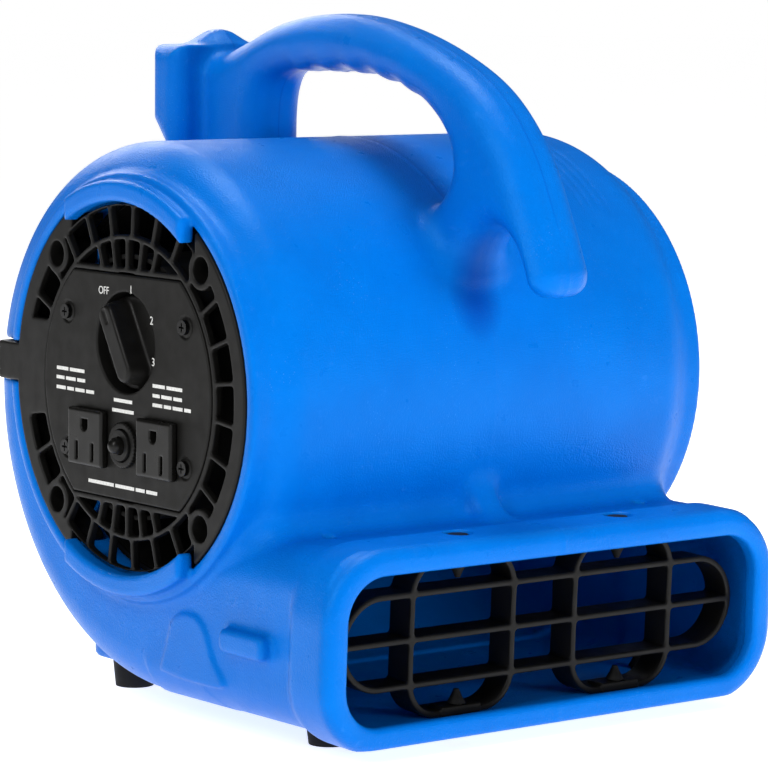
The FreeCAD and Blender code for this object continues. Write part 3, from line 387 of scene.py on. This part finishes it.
def metal(name, shade, rough, stretch=(1.0, 1.0, 1.0)):
    """Plated or painted steel with fine drawn marks."""
    f = Finish(name, metallic=1.0)
    f.soft_edges(0.0003)
    marks = f.span(f.noise(900.0, 3.0, 0.6, f.stretched(stretch)), 0.3, 0.7)
    f.colour(f.blend(marks, tuple(c * 0.75 for c in shade), shade))
    f.roughness(f.span(f.noise(300.0, 2.0), 0.3, 0.7, rough - 0.05, rough + 0.1))
    f.relief(marks, 0.12, 0.0001)
    return f.material


def copper_wire():
    """Enamelled winding wire in close turns."""
    f = Finish("winding_copper", metallic=1.0, roughness=0.35, coat=0.5)
    turns = f.span(f.noise(260.0, 2.0, 0.5, f.stretched((0.3, 1.0, 1.0)), 1.0), 0.35, 0.65)
    f.colour(f.blend(turns, (0.36, 0.12, 0.03), (0.72, 0.28, 0.09)))
    f.relief(turns, 0.6, 0.0008)
    return f.material


def white_ink():
    """Pad-printed white ink, slightly uneven."""
    f = Finish("white_print", roughness=0.6)
    f.colour(f.blend(f.span(f.noise(900.0, 3.0), 0.3, 0.7), (0.56, 0.56, 0.54), (0.72, 0.72, 0.70)))
    f.relief(f.noise(2200.0, 2.0), 0.1, 0.0001)
    return f.material


BLUE = blue_plastic()
SATIN = black_plastic("black_satin_plastic", (0.0042, 0.0040, 0.0036), 0.46)
PANEL = black_plastic("black_panel_plastic", (0.0045, 0.0043, 0.0037), 0.52, 2400.0, 0.15)
GLOSS = black_plastic("black_gloss_plastic", (0.0048, 0.0046, 0.0041), 0.32, 900.0, 0.05)
RUBBER = black_plastic("black_rubber", (0.0045, 0.0045, 0.0045), 0.66, 700.0, 0.25, bevel=0.0006)
HIDDEN_PLASTIC = black_plastic("inner_black_plastic", (0.0040, 0.0040, 0.0038), 0.5, bevel=0.0004)
ZINC = metal("zinc_plated_steel", (0.55, 0.55, 0.53), 0.3)
DARK_STEEL = metal("blackened_steel", (0.035, 0.035, 0.035), 0.35)
LAMINATE = metal("stacked_steel", (0.34, 0.33, 0.32), 0.45, (12.0, 0.4, 0.4))
ALUMINIUM = metal("cast_aluminium", (0.62, 0.62, 0.62), 0.42)
COPPER = copper_wire()
INK = white_ink()


# ---------------------------------------------------------------- housing

HANDLE_TOP = [(98, 145), (80, 151.5), (46, 163), (5, 167), (-35, 161.5), (-73, 149.5), (-102, 134),
              (-125, 110), (-142, 78), (-151, 57)]
HANDLE_TIP = [(-151, 57), (-150.5, 50.5), (-147.5, 46.5), (-142, 45.3), (-136, 49)]
HANDLE_INSIDE = [(-136, 49), (-128, 66), (-114, 75), (-101, 70), (-91, 52)]
HANDLE_FOOT = [(-70, 40), (70, 40), (104, 78), (104, 139)]
HAND_HOLE = [(63, 70), (63, 100), (62, 124), (57, 135), (45, 140), (15, 141.5), (-20, 140.5),
             (-47, 134.5), (-66, 125.5), (-80, 112), (-83, 98), (-74, 84), (-60, 70)]
WAVE_DEPTH, WAVE_LENGTH = 1.4, 21.0
CORD_HOOK_SIDE = [(101, 96), (101, 151), (124.3, 151), (124.3, 114), (106, 92)]
RIB_SIDE = [(-80, -34), (-90, -38), (-107, -60), (-80, -64)]
BADGE_SIDE = [(-22, -125), (-27, -113), (-31, -102), (-39, -97), (-50, -97), (-57, -102), (-63, -114),
              (-71, -125), (-46, -127), (-22, -125)]
GROOVES = (78.75, 83.75, 88.75, 93.75)


def scroll_outline():
    """The fan scroll: three tangent arcs, a flat bottom and a blunt front."""
    line = arc_points((-8.7, -7.0), 132.7, 270, 360) + arc_points((7.0, -7.0), 117.0, 0, 90)
    line += arc_points((7.0, 1.0), 109.0, 90, 230)
    return line + [(line[-1][0], FLOOR)]


def handle_outline():
    """The side view of the handle: an arch that ends in a free hook at the front."""
    arch = smooth_points(HANDLE_TOP) + smooth_points(HANDLE_TIP)[1:] + smooth_points(HANDLE_INSIDE)[1:]
    return arch + HANDLE_FOOT


def hand_hole():
    """The side view of the hand hole, with soft finger waves along its upper side."""
    line = []
    for y, z in smooth_points(HAND_HOLE, 16):
        grip = min(max((z - 122) / 10, 0), 1) * min(max((50 - y) / 15, 0), 1) * min(max((y + 62) / 15, 0), 1)
        line.append((y, z - WAVE_DEPTH * grip * (0.5 - 0.5 * math.cos(2 * math.pi * y / WAVE_LENGTH))))
    return line


def tilted(f, front, middle):
    """Coordinates that lean with the lip: how far behind a face, and how high above its middle."""
    dy, dz = f.y - front, f.z - middle
    behind = dy * math.cos(LIP_TILT) + dz * math.sin(LIP_TILT)
    above = dz * math.cos(LIP_TILT) - dy * math.sin(LIP_TILT)
    return behind, above


def drum_and_nozzle(f, half, scroll):
    """The scroll and the nozzle with their fillet, the round rims and the lip round the mouth."""
    x, y, z = f.x, f.y, f.z
    nozzle = raised(rectangle(x, z - NOZZLE_MIDDLE, HALF_WIDTH, 40.6, 20), y, -76.5, 66.5)
    fillet = 2 + 13 * np.clip((z + 82) / 20, 0, 1)
    body = np.maximum(np.maximum(join(scroll, nozzle, fillet), half - HALF_WIDTH), FLOOR - z)
    rim = raised(np.hypot(y, z) - RIM_RADIUS, x, 0, RIM_HALF_WIDTH, 2)
    body = np.maximum(join(body, rim, 2.5), half - RIM_HALF_WIDTH)
    behind, above = tilted(f, LIP_FRONT, LIP_MIDDLE)
    lip = raised(rectangle(x, above, 130.8, 45, 33), behind, 15, 15, 6)
    return join(body, lip, 2.5)


def handle(f):
    """The carrying handle and the wide domed cord hook at its back."""
    side = np.maximum(outline(handle_outline(), f.y, f.z), -outline(hand_hole(), f.y, f.z))
    bar = raised(side[None], f.x, 0, 17.5, 13)
    flange = raised(outline(CORD_HOOK_SIDE, f.y, f.z)[None], f.x, 0, 34, 9)
    dome = raised(np.hypot(f.x, f.z - 142) - 16, f.y, 113, 10, 8)
    return join(bar, join(flange, dome, 5), 9)


def fittings(f, half):
    """Rear foot bosses, side lugs, the rib over the nozzle and the blank badge, each with its fillet."""
    boss = raised(rectangle(half - REAR_FOOT[0], f.y - 54.5, 18, 20.5, 12), f.z, -120.7, 15, 3)
    lug = raised(rectangle(f.y + 89.5, f.z + 103.5, 16.5, 5.5, 4), half, 129, 4, 2.6)
    rib = raised(outline(RIB_SIDE, f.y, f.z)[None], f.x, 0, 7, 4)
    badge = raised(outline(smooth_points(BADGE_SIDE, 6), f.y, f.z)[None], f.x, -126.6, 1.7, 1.0)
    return (boss, 5), (lug, 2.5), (rib, 7), (badge, 1)


def mould_lines(f, body, radius):
    """The body with a fine raised seam on its mid-plane and four shallow grooves beside the handle."""
    body = body - 0.32 * ridge(f.x, 0.9) * np.clip((radius - 100) / 5, 0, 1)
    swing = np.degrees(np.arctan2(f.z - 1, f.y - 7))
    for groove in GROOVES:
        length = np.clip((swing - 103) / 8, 0, 1)
        body = body + 0.45 * ridge(f.x - groove, 0.8) * length * np.clip((138 - swing) / 4, 0, 1)
    return body


def hollowed(f, body, scroll):
    """The body as a shell: the air space inside it and the open mouth cut away."""
    passage = raised(rectangle(f.x, f.z - NOZZLE_MIDDLE, 123.8, 37.4, 16.8), f.y, -75.5, 65.5)
    shell = np.maximum(body, -join(scroll + WALL, passage, 5))
    behind, above = tilted(f, LIP_FRONT, LIP_MIDDLE)
    return carve(shell, raised(rectangle(f.x, above, 118.5, 33, 19), behind, 4.5, 15), 2.6)


def with_intakes(f, shell, half, radius):
    """The shell with bored intakes and grille ears, and on the left the arc lugs and the tab notch."""
    shell = np.minimum(shell, raised(np.abs(radius - 90.25) - 1.75, half, 119.5, 11.5))
    shell = carve(shell, raised(radius - 88.5, half, 120, 13), 0.6)
    shell = carve(shell, raised(radius - 91, half, RIM_HALF_WIDTH, 4), 1.2)
    out, across = quarter_axes(f.y, f.z)
    ear = raised(rectangle(out - 82, across, 8.5, 7.5, 2), half, 110.8, 2, 0.5)
    shell = np.minimum(shell, carve(ear, np.hypot(out - BOLT_OUT, across) - 2.3))
    lugs = np.maximum(np.abs(radius - 88.75) - 4.75, np.abs(f.y + 4) - 46)
    shell = join(shell, raised(lugs, f.x, -133.25, 4.25, 1.8), 1.2)
    notch = raised(rectangle(f.y - 100, f.z - TAB_HEIGHT, 20, 9.7, 1), f.x, -121, 11)
    return carve(shell, notch, 0.8)


def with_pin_holes(f, shell, half):
    """The shell with holes for rivets and foot pins low down, and pockets that sink the rivet heads."""
    rivet = np.hypot(half - RIVET_X, f.y - RIVET_Y)
    front_foot = np.hypot(half - FRONT_FOOT[0], f.y - FRONT_FOOT[1])
    rear_foot = np.hypot(half - REAR_FOOT[0], f.y - REAR_FOOT[1])
    pins = np.minimum(rivet, np.minimum(front_foot, rear_foot)) - 3.2
    shell = carve(shell, np.maximum(pins, f.z + 50), 0.4)
    pocket = np.minimum(np.abs(f.z - NOZZLE_TOP - 6), np.abs(f.z - FLOOR + 6)) - 6
    return carve(shell, np.maximum(rivet - 6.6, pocket), 0.5)


def make_housing():
    """The hollow blue housing with its openings."""
    f = Field((-141.25, -158.75, -143.75), (141.25, 142.5, 172.5), HOUSING_STEP)
    half, radius = np.abs(f.x), np.hypot(f.y, f.z)
    scroll = raised(outline(scroll_outline(), f.y, f.z)[None], f.x, 0, HALF_WIDTH, 22)
    body = join(drum_and_nozzle(f, half, scroll), handle(f), 10)
    for fitting, fillet in fittings(f, half):
        body = join(body, fitting, fillet)
    shell = hollowed(f, mould_lines(f, body, radius), scroll)
    shell = with_pin_holes(f, with_intakes(f, shell, half, radius), half)
    f.piece("housing_shell", shell, "frame", BLUE, "housing")


# ---------------------------------------------------------------- intake grilles and panel

RIM_SPOKES = 27
VENT_ROUND = 1.6
SEAT_PLAY = 0.4


def spoke_gap(radius, angle, count, first):
    """Distance from the nearest of several even spokes."""
    step = math.tau / count
    off = (angle - first + step / 2) % step - step / 2
    return radius * np.abs(np.sin(off))


def rim_vents(radius, angle, pin):
    """The ring of vents all round the edge, kept clear of the four bolt tubes."""
    ring = np.maximum(radius - 82, 69 - radius)
    gap = spoke_gap(radius, angle, RIM_SPOKES, math.radians(90 + 180 / RIM_SPOKES))
    return carve(carve(ring, gap - WEB_HALF, VENT_ROUND), pin - 9, VENT_ROUND)


def panel_side_vents(f, radius, rim):
    """The rim vents less the tab's place, and the rows of vents above and below the panel."""
    rim = carve(rim, rectangle(f.y - 75, f.z - TAB_HEIGHT, 15, 22), VENT_ROUND)
    rows = np.maximum(radius - 66.8, 54 - np.abs(f.z))
    spokes = np.full(rows.shape, 1e3, dtype=np.float32)
    for turn in (-20, -10, 0, 10, 20):
        a = math.radians(turn)
        spokes = np.minimum(spokes, np.abs(f.y * math.cos(a) + np.abs(f.z) * math.sin(a)))
    return np.minimum(rim, carve(rows, spokes - WEB_HALF, VENT_ROUND))


def full_vents(radius, angle, rim):
    """The rim vents and the two inner rings of vents."""
    cells = rim
    for outer, inner, count in ((65, 45, 18), (41, 21, 12)):
        band = np.maximum(radius - outer, inner - radius)
        cells = np.minimum(cells, carve(band, spoke_gap(radius, angle, count, 0.0) - WEB_HALF, VENT_ROUND))
    return cells


def grille_disc(f, side, radius, pin):
    """The disc with its skirt and four bolt tubes, before its vents are cut."""
    disc = raised(radius - 90.4, f.x, side * 129, 2, 1.1)
    disc = np.minimum(disc, raised(np.abs(radius - 86.8) - 1.3, f.x, side * 121, 8))
    return np.minimum(disc, raised(pin - 7.2, f.x, side * 122, 9, 0.5))


def grille_measures(f):
    """Distance from the fan axis, angle about it, and distance from the nearest bolt."""
    out, across = quarter_axes(f.y, f.z)
    return np.hypot(f.y, f.z), np.arctan2(-f.y, f.z), np.hypot(out - BOLT_OUT, across)


def make_left_grille():
    """The panel-side grille with the panel seat and the cord tab."""
    f = Field((-133.2, -93, -93), (-111, 110, 93), GRILLE_STEP)
    radius, angle, pin = grille_measures(f)
    disc = grille_disc(f, -1, radius, pin)
    disc = join(disc, raised(rectangle(f.y - 96.5, f.z - TAB_HEIGHT, 10.5, 9, 1.5), f.x, -122, 9, 1.2))
    vents = panel_side_vents(f, radius, rim_vents(radius, angle, pin))
    disc = carve(disc, raised(vents, f.x, -129, 4), 0.7)
    seat = np.maximum(radius - (PANEL_RADIUS + SEAT_PLAY), np.abs(f.z) - (PANEL_HALF_HEIGHT + SEAT_PLAY))
    disc = carve(disc, raised(seat, f.x, PANEL_FACE, 2.3), 0.5)
    disc = carve(disc, raised(radius - 52, f.x, -129, 6))
    disc = carve(disc, raised(pin - 5.8, f.x, -126, 9), 0.6)
    lug_space = np.maximum(np.abs(radius - 89.5) - 6.6, np.abs(f.y + 4) - 48.6)
    disc = carve(disc, raised(lug_space, f.x, -124, 14), 0.6)
    disc = carve(disc, np.maximum(np.hypot(f.x + 122, f.z - TAB_HEIGHT) - 5.2, 62 - f.y))
    f.piece("left_grille", disc, "frame", SATIN, "left_intake_grille")


def make_right_grille():
    """The full grille on the other side."""
    f = Field((111, -93, -93), (133.2, 93, 93), GRILLE_STEP)
    radius, angle, pin = grille_measures(f)
    vents = full_vents(radius, angle, rim_vents(radius, angle, pin))
    disc = carve(grille_disc(f, 1, radius, pin), raised(vents, f.x, 129, 4), 0.7)
    disc = carve(disc, raised(pin - 5.8, f.x, 126, 9), 0.6)
    f.piece("right_grille", disc, "frame", SATIN, "right_intake_grille")


def make_panel():
    """The control panel with the knob well, screw rings and breaker recess."""
    f = Field((-132.9, -68, -53), (-115, 68, 53), DETAIL_STEP)
    x, y, z = f.x, f.y, f.z
    face = np.maximum(np.hypot(y, z) - PANEL_RADIUS, np.abs(z) - PANEL_HALF_HEIGHT)
    plate = raised(face, x, -130.25, 1.25, 0.6)
    knob = np.hypot(y, z - KNOB_HEIGHT)
    plate = np.minimum(plate, raised(knob - 24.2, x, -124.5, 7, 0.6))
    plate = carve(plate, raised(knob - 22.7, x, -127.5, 8), 0.9)
    plate = carve(plate, raised(knob - 3.6, x, -120, 9))
    plate = carve(plate, raised(np.hypot(y, z - BREAKER_HEIGHT) - 7.2, x, -130, 4))
    outlets = rectangle(np.abs(y) - OUTLET_SIDE, z - OUTLET_HEIGHT, 12.75, 12)
    plate = carve(plate, raised(outlets, x, -130, 4))
    screw = np.hypot(np.abs(y) - SCREW_SIDE, np.abs(z) - SCREW_HEIGHT)
    plate = carve(plate, raised(np.abs(screw - 4.6) - 0.45, x, PANEL_FACE, 0.5), 0.3)
    plate = carve(plate, raised(screw - 1.8, x, -130, 4))
    f.piece("panel_plate", plate, "frame", PANEL, "control_panel")


# ---------------------------------------------------------------- controls

def make_knob():
    """The speed knob: a disc with a tall drafted pointer bar across it and a cut dash on the bar."""
    f = Field((-139.9, -23, -3), (-120.4, 23, 43.5), DETAIL_STEP)
    x, y, z = f.x, f.y, f.z - KNOB_HEIGHT
    disc = raised(np.hypot(y, z) - 21.4, x, -124.25, 2.75, 1.2)
    along = y * math.sin(KNOB_TILT) + z * math.cos(KNOB_TILT)
    across = y * math.cos(KNOB_TILT) - z * math.sin(KNOB_TILT)
    rise = np.clip((-x - 127) / 11, 0, 1)
    bar = np.hypot(np.maximum(np.abs(along) - (14.3 - 0.8 * rise), 0), across) - (7 - 1.9 * rise)
    bar = raised(bar, x, -130, 8, 1.4)
    dash = np.maximum(rectangle(along - 13.5, across, 3.0, 0.5), 0)
    bar = bar + 0.5 * np.exp(-dash ** 2 / 0.3) * (x < -133)
    knob = join(disc, bar, 1.6)
    knob = carve(knob, np.maximum(np.hypot(y, z) - 3.0, -124 - x))
    f.piece("knob_moulding", knob, "knob", SATIN, "speed_knob")


def make_outlet(name, side):
    """A three-pin receptacle with soft edges."""
    middle = side * OUTLET_SIDE
    f = Field((-136.9, middle - 15, -39.5), (-103.5, middle + 15, -10), DETAIL_STEP)
    x, y, z = f.x, f.y - middle, f.z - OUTLET_HEIGHT
    face = raised(rectangle(y, z, 13.75, 13, 0.8), x, -133.5, 2, 1.3)
    block = raised(rectangle(y, z, 12.5, 11.8, 0.5), x, -119, 13.5, 0.5)
    outlet = np.minimum(face, block)
    slots = rectangle(np.abs(y) - 6.35, z + 6.2, 0.95, 4, 0.3)
    ground = np.minimum(np.hypot(y, z - 5.7) - 2.6, rectangle(y, z - 7.0, 2.6, 1.3))
    outlet = carve(outlet, raised(np.minimum(slots, ground), x, -127, 9), 0.35)
    f.piece(f"{name}_moulding", outlet, "frame", GLOSS, name)


def make_breaker():
    """The knurled nut and the domed reset button of the circuit breaker."""
    f = Field((-135.3, -12, -37.5), (-130.4, 12, -14), FINE_STEP)
    y, z = f.y, f.z - BREAKER_HEIGHT
    radius, angle = np.hypot(y, z), np.arctan2(y, z)
    knurl = 0.4 * np.abs(np.sin(18 * angle)) * np.clip((radius - 8) / 2, 0, 1)
    nut = raised(radius - 10.6 + knurl, f.x, -132.7, 1.2, 0.7)
    nut = carve(nut, radius - 7.3, 0.7)
    f.piece("breaker_ring", nut, "frame", SATIN, "breaker_nut")
    f = Field((-141.2, -5.5, -31.5), (-128.4, 5.5, -20), FINE_STEP)
    radius = np.hypot(f.y, f.z - BREAKER_HEIGHT)
    stem = raised(radius - 3.8, f.x, -133, 3.5)
    ball = np.sqrt(radius ** 2 + (f.x + 136.5) ** 2) - 3.8
    f.piece("breaker_cap", np.minimum(stem, ball), "reset", GLOSS, "breaker_button")


# Each dial mark's text, place and letter size; each line of bars' start and word lengths.
DIAL_MARKS = (
    ("OFF", 17.2, 42.7, 5.0), ("1", -4.5, 44.5, 5.2), ("2", -20.7, 31.9, 5.2), ("3", -22.1, 13.5, 5.2),
)
RATING_LINES = (
    (55.7, 4.5, (9.5, 12.0)), (55.9, 0.2, (6.5, 8.0, 6.5)), (55.9, -4.4, (7.5, 5.5, 7.5, 6.5)),
    (-21.7, 3.2, (9.5, 12.0)), (-21.7, -1.2, (5.5, 8.0, 6.5)), (-21.7, -5.4, (7.5, 5.5, 7.5, 5.0)),
    (8.9, -6.0, (14.5,)), (10.2, -10.6, (17.0,)), (29.5, -45.0, (20.5, 15.0, 7.0, 8.5)),
)
BAR_HALF, WORD_GAP, INK_HALF_DEPTH = 0.8, 1.3, 0.08
PANEL_TURN = Matrix(((0, 0, -1), (-1, 0, 0), (0, 1, 0))).to_4x4()
BOX_SIDES = ((0, 1, 2, 3), (7, 6, 5, 4), (0, 4, 5, 1), (1, 5, 6, 2), (2, 6, 7, 3), (3, 7, 4, 0))


def add_dial_mark(vertices, faces, text, y, z, size):
    """Add one dial mark, as thin raised text that faces out of the panel."""
    curve = bpy.data.curves.new("dial_mark", "FONT")
    curve.body, curve.size, curve.extrude = text, size * MM, INK_HALF_DEPTH * MM
    curve.align_x, curve.align_y = "CENTER", "CENTER"
    curve.space_character = 0.95
    thing = bpy.data.objects.new("dial_mark", curve)
    bpy.context.scene.collection.objects.link(thing)
    mesh = bpy.data.meshes.new_from_object(thing.evaluated_get(bpy.context.evaluated_depsgraph_get()))
    mesh.transform(Matrix.Translation(AXIS + Vector((PANEL_FACE, y, z)) * MM) @ PANEL_TURN)
    bpy.data.objects.remove(thing)
    start = len(vertices)
    vertices += [tuple(v.co) for v in mesh.vertices]
    faces += [[start + i for i in p.vertices] for p in mesh.polygons]


def add_bar(vertices, faces, y, z, length):
    """Add one thin bar that starts at y and runs towards the front."""
    start = len(vertices)
    for dx in (-0.1, 0.1):
        for dy, dz in ((0, -BAR_HALF), (-length, -BAR_HALF), (-length, BAR_HALF), (0, BAR_HALF)):
            vertices.append(tuple(AXIS + Vector((PANEL_FACE + dx, y + dy, z + dz)) * MM))
    faces += [[start + i for i in side] for side in BOX_SIDES]


def make_printing():
    """Generic dial marks, and plain bars where the ratings would be printed."""
    vertices, faces = [], []
    for text, y, z, size in DIAL_MARKS:
        add_dial_mark(vertices, faces, text, y, z, size)
    for y, z, words in RATING_LINES:
        for word in words:
            add_bar(vertices, faces, y, z, word)
            y -= word + WORD_GAP
    mesh = bpy.data.meshes.new("panel_printing")
    mesh.from_pydata(vertices, [], faces)
    mesh.materials.append(INK)
    add_piece("panel_printing", mesh, "frame")


# ---------------------------------------------------------------- nozzle grille

LOOP_HALF_WIDTH = 112.6
STRIP_HALF = 1.4


def make_nozzle_grille():
    """The black nozzle grille: one long loop, a centre bar, two upright hoops and four rivet blocks."""
    f = Field((-116.4, -140.4, -139.5), (116.4, -120, -60), GRILLE_STEP)
    behind, above = tilted(f, GRILLE_FRONT, GRILLE_MIDDLE)
    aside = np.abs(f.x) - RIVET_X
    loop = np.abs(rectangle(f.x, above, LOOP_HALF_WIDTH, 20.2, 20.2)) - STRIP_HALF
    bar = np.maximum(np.abs(above) - STRIP_HALF, np.abs(f.x) - LOOP_HALF_WIDTH)
    hoop = np.abs(rectangle(aside, above, 28.6, 34.6, 15.6)) - STRIP_HALF
    flat = join(join(loop, bar, 1.5), hoop, 1.5)
    grille = raised(flat, behind, 7.5, 7.5, 0.7)
    level = np.abs(f.z - GRILLE_MIDDLE)
    blocks = raised(rectangle(aside, f.y + 131.95, 11, 5.5, 0.8), level, 33.8, 2.1, 0.5)
    grille = join(grille, blocks, 0.6)
    hole = np.hypot(aside, f.y - RIVET_Y) - 3.3
    grille = carve(grille, np.maximum(hole, 26 - level))
    f.piece("nozzle_grille", grille, "frame", SATIN, "outlet_grille")


# ---------------------------------------------------------------- CAD nodes that stay

NODE_FINISHES = {
    SATIN: ("inlet_cone",),
    RUBBER: ("grille_rivets_bottom", "grille_rivets_top", "front_feet", "rear_feet", "foot_rivets"),
    HIDDEN_PLASTIC: ("cord_gland", "rotary_switch", "breaker_body", "control_box", "run_capacitor",
                     "motor_lead", "impeller_wheel"),
    ZINC: ("left_grille_nuts", "right_grille_nuts", "switch_shaft", "bearing_left", "bearing_right",
           "motor_shaft", "motor_screws", "impeller_hub"),
    DARK_STEEL: ("left_grille_bolts", "right_grille_bolts", "panel_screws", "motor_shell",
                 "motor_bracket", "hub_set_screw"),
    LAMINATE: ("stator_core", "rotor_core"),
    ALUMINIUM: ("motor_end_bell_left", "motor_end_bell_right"),
    COPPER: ("stator_windings",),
}


def finish_nodes():
    """Give every CAD node that stays its own material."""
    for material, names in NODE_FINISHES.items():
        for name in names:
            mesh = NODES[name].data
            mesh.materials.clear()
            mesh.materials.append(material)


# ---------------------------------------------------------------- stage, lights and camera

# Yaw, pitch down and roll in degrees, and the camera's place from the fan axis in metres.
CAMERA_ANGLES = (38.267, 6.429, 0.529)
CAMERA_OFFSET = Vector((-1.0498, -1.35057, 0.18652))
SENSOR_WIDTH, FOCAL_LENGTH, LENS_SHIFT = 36.0, 171.2, 0.0021
# How bright the surround is to the camera, as a light, and in reflections.
SURROUND_SEEN, SURROUND_LIGHT, SURROUND_REFLECTED = 1.0, 0.27, 0.04
# Each lamp's name, place, target, size and power, and whether its reflection shows.
LAMPS = (
    ("key", (-1.5, -0.45, 1.15), (0, 0, 0.15), (0.45, 1.0), 16.0, True),
    ("top", (0.15, 0.25, 1.6), (0, 0, 0.2), (0.5, 0.5), 13.0, True),
    ("rear", (0.5, 1.7, 1.0), (0, 0, 0.25), (1.2, 0.5), 11.0, True),
    ("mouth", (0.4, -1.9, 0.35), (0, 0, 0.06), (0.9, 0.5), 24.0, False),
)
FLOOR_SIZE, FLOOR_GLOW = 30.0, 0.78


def make_camera():
    """A long lens, a little above the blower, looking at its panel side and nozzle."""
    yaw, pitch, roll = (math.radians(angle) for angle in CAMERA_ANGLES)
    forward = Vector((math.sin(yaw) * math.cos(pitch), math.cos(yaw) * math.cos(pitch), -math.sin(pitch)))
    level = Vector((math.cos(yaw), -math.sin(yaw), 0.0))
    upward = level.cross(forward)
    right = math.cos(roll) * level + math.sin(roll) * upward
    up = math.cos(roll) * upward - math.sin(roll) * level
    lens = bpy.data.cameras.new("camera")
    lens.sensor_width, lens.lens, lens.shift_x = SENSOR_WIDTH, FOCAL_LENGTH, LENS_SHIFT
    lens.clip_end = 20.0
    camera = bpy.data.objects.new("camera", lens)
    place = Matrix((right, up, -forward)).transposed().to_4x4()
    place.translation = AXIS + CAMERA_OFFSET
    camera.matrix_world = place
    bpy.context.scene.collection.objects.link(camera)
    bpy.context.scene.camera = camera


def area_light(name, place, target, size, power, reflected):
    """A soft rectangular lamp that faces a point, with or without a reflection of its own."""
    lamp = bpy.data.lights.new(name, "AREA")
    lamp.shape, lamp.size, lamp.size_y = "RECTANGLE", *size
    lamp.energy = power
    thing = bpy.data.objects.new(name, lamp)
    thing.location = place
    thing.rotation_euler = (Vector(target) - Vector(place)).to_track_quat("-Z", "Y").to_euler()
    thing.visible_glossy = reflected
    bpy.context.scene.collection.objects.link(thing)


def make_stage():
    """A plain pale floor, a white surround and soft lamps."""
    bpy.ops.mesh.primitive_plane_add(size=FLOOR_SIZE, location=(0, 0, CAD_BOX[0].z))
    floor = bpy.context.object
    floor.name = "floor"
    f = Finish("pale_floor", roughness=0.8, specular=0.1)
    f.colour(f.blend(f.noise(3.0), (0.84, 0.84, 0.84), (0.87, 0.87, 0.87)))
    f.shader.inputs["Emission Color"].default_value = (1.0, 1.0, 1.0, 1.0)
    f.shader.inputs["Emission Strength"].default_value = FLOOR_GLOW
    floor.data.materials.append(f.material)
    make_surround()
    for lamp in LAMPS:
        area_light(*lamp)


def make_surround():
    """White to the camera, dimmer as a light, and almost dark to reflections so the blue stays deep."""
    world = bpy.data.worlds.new("studio")
    world.use_nodes = True
    tree = world.node_tree
    rays = tree.nodes.new("ShaderNodeLightPath")

    def changed_by(ray_kind, change):
        """A node that adds a change to its last input on rays of one kind."""
        node = tree.nodes.new("ShaderNodeMath")
        node.operation = "MULTIPLY_ADD"
        node.inputs[1].default_value = change
        tree.links.new(rays.outputs[ray_kind], node.inputs[0])
        return node

    seen = changed_by("Is Camera Ray", SURROUND_SEEN - SURROUND_LIGHT)
    seen.inputs[2].default_value = SURROUND_LIGHT
    reflected = changed_by("Is Glossy Ray", SURROUND_REFLECTED - SURROUND_LIGHT)
    tree.links.new(seen.outputs["Value"], reflected.inputs[2])
    background = tree.nodes["Background"]
    background.inputs["Color"].default_value = (1.0, 1.0, 1.0, 1.0)
    tree.links.new(reflected.outputs["Value"], background.inputs["Strength"])
    bpy.context.scene.world = world
    bpy.context.scene.view_settings.view_transform = "Standard"


make_camera()
make_stage()
make_housing()
make_left_grille()
make_right_grille()
make_panel()
make_knob()
make_outlet("outlet_rear", 1)
make_outlet("outlet_front", -1)
make_breaker()
make_printing()
make_nozzle_grille()
finish_nodes()
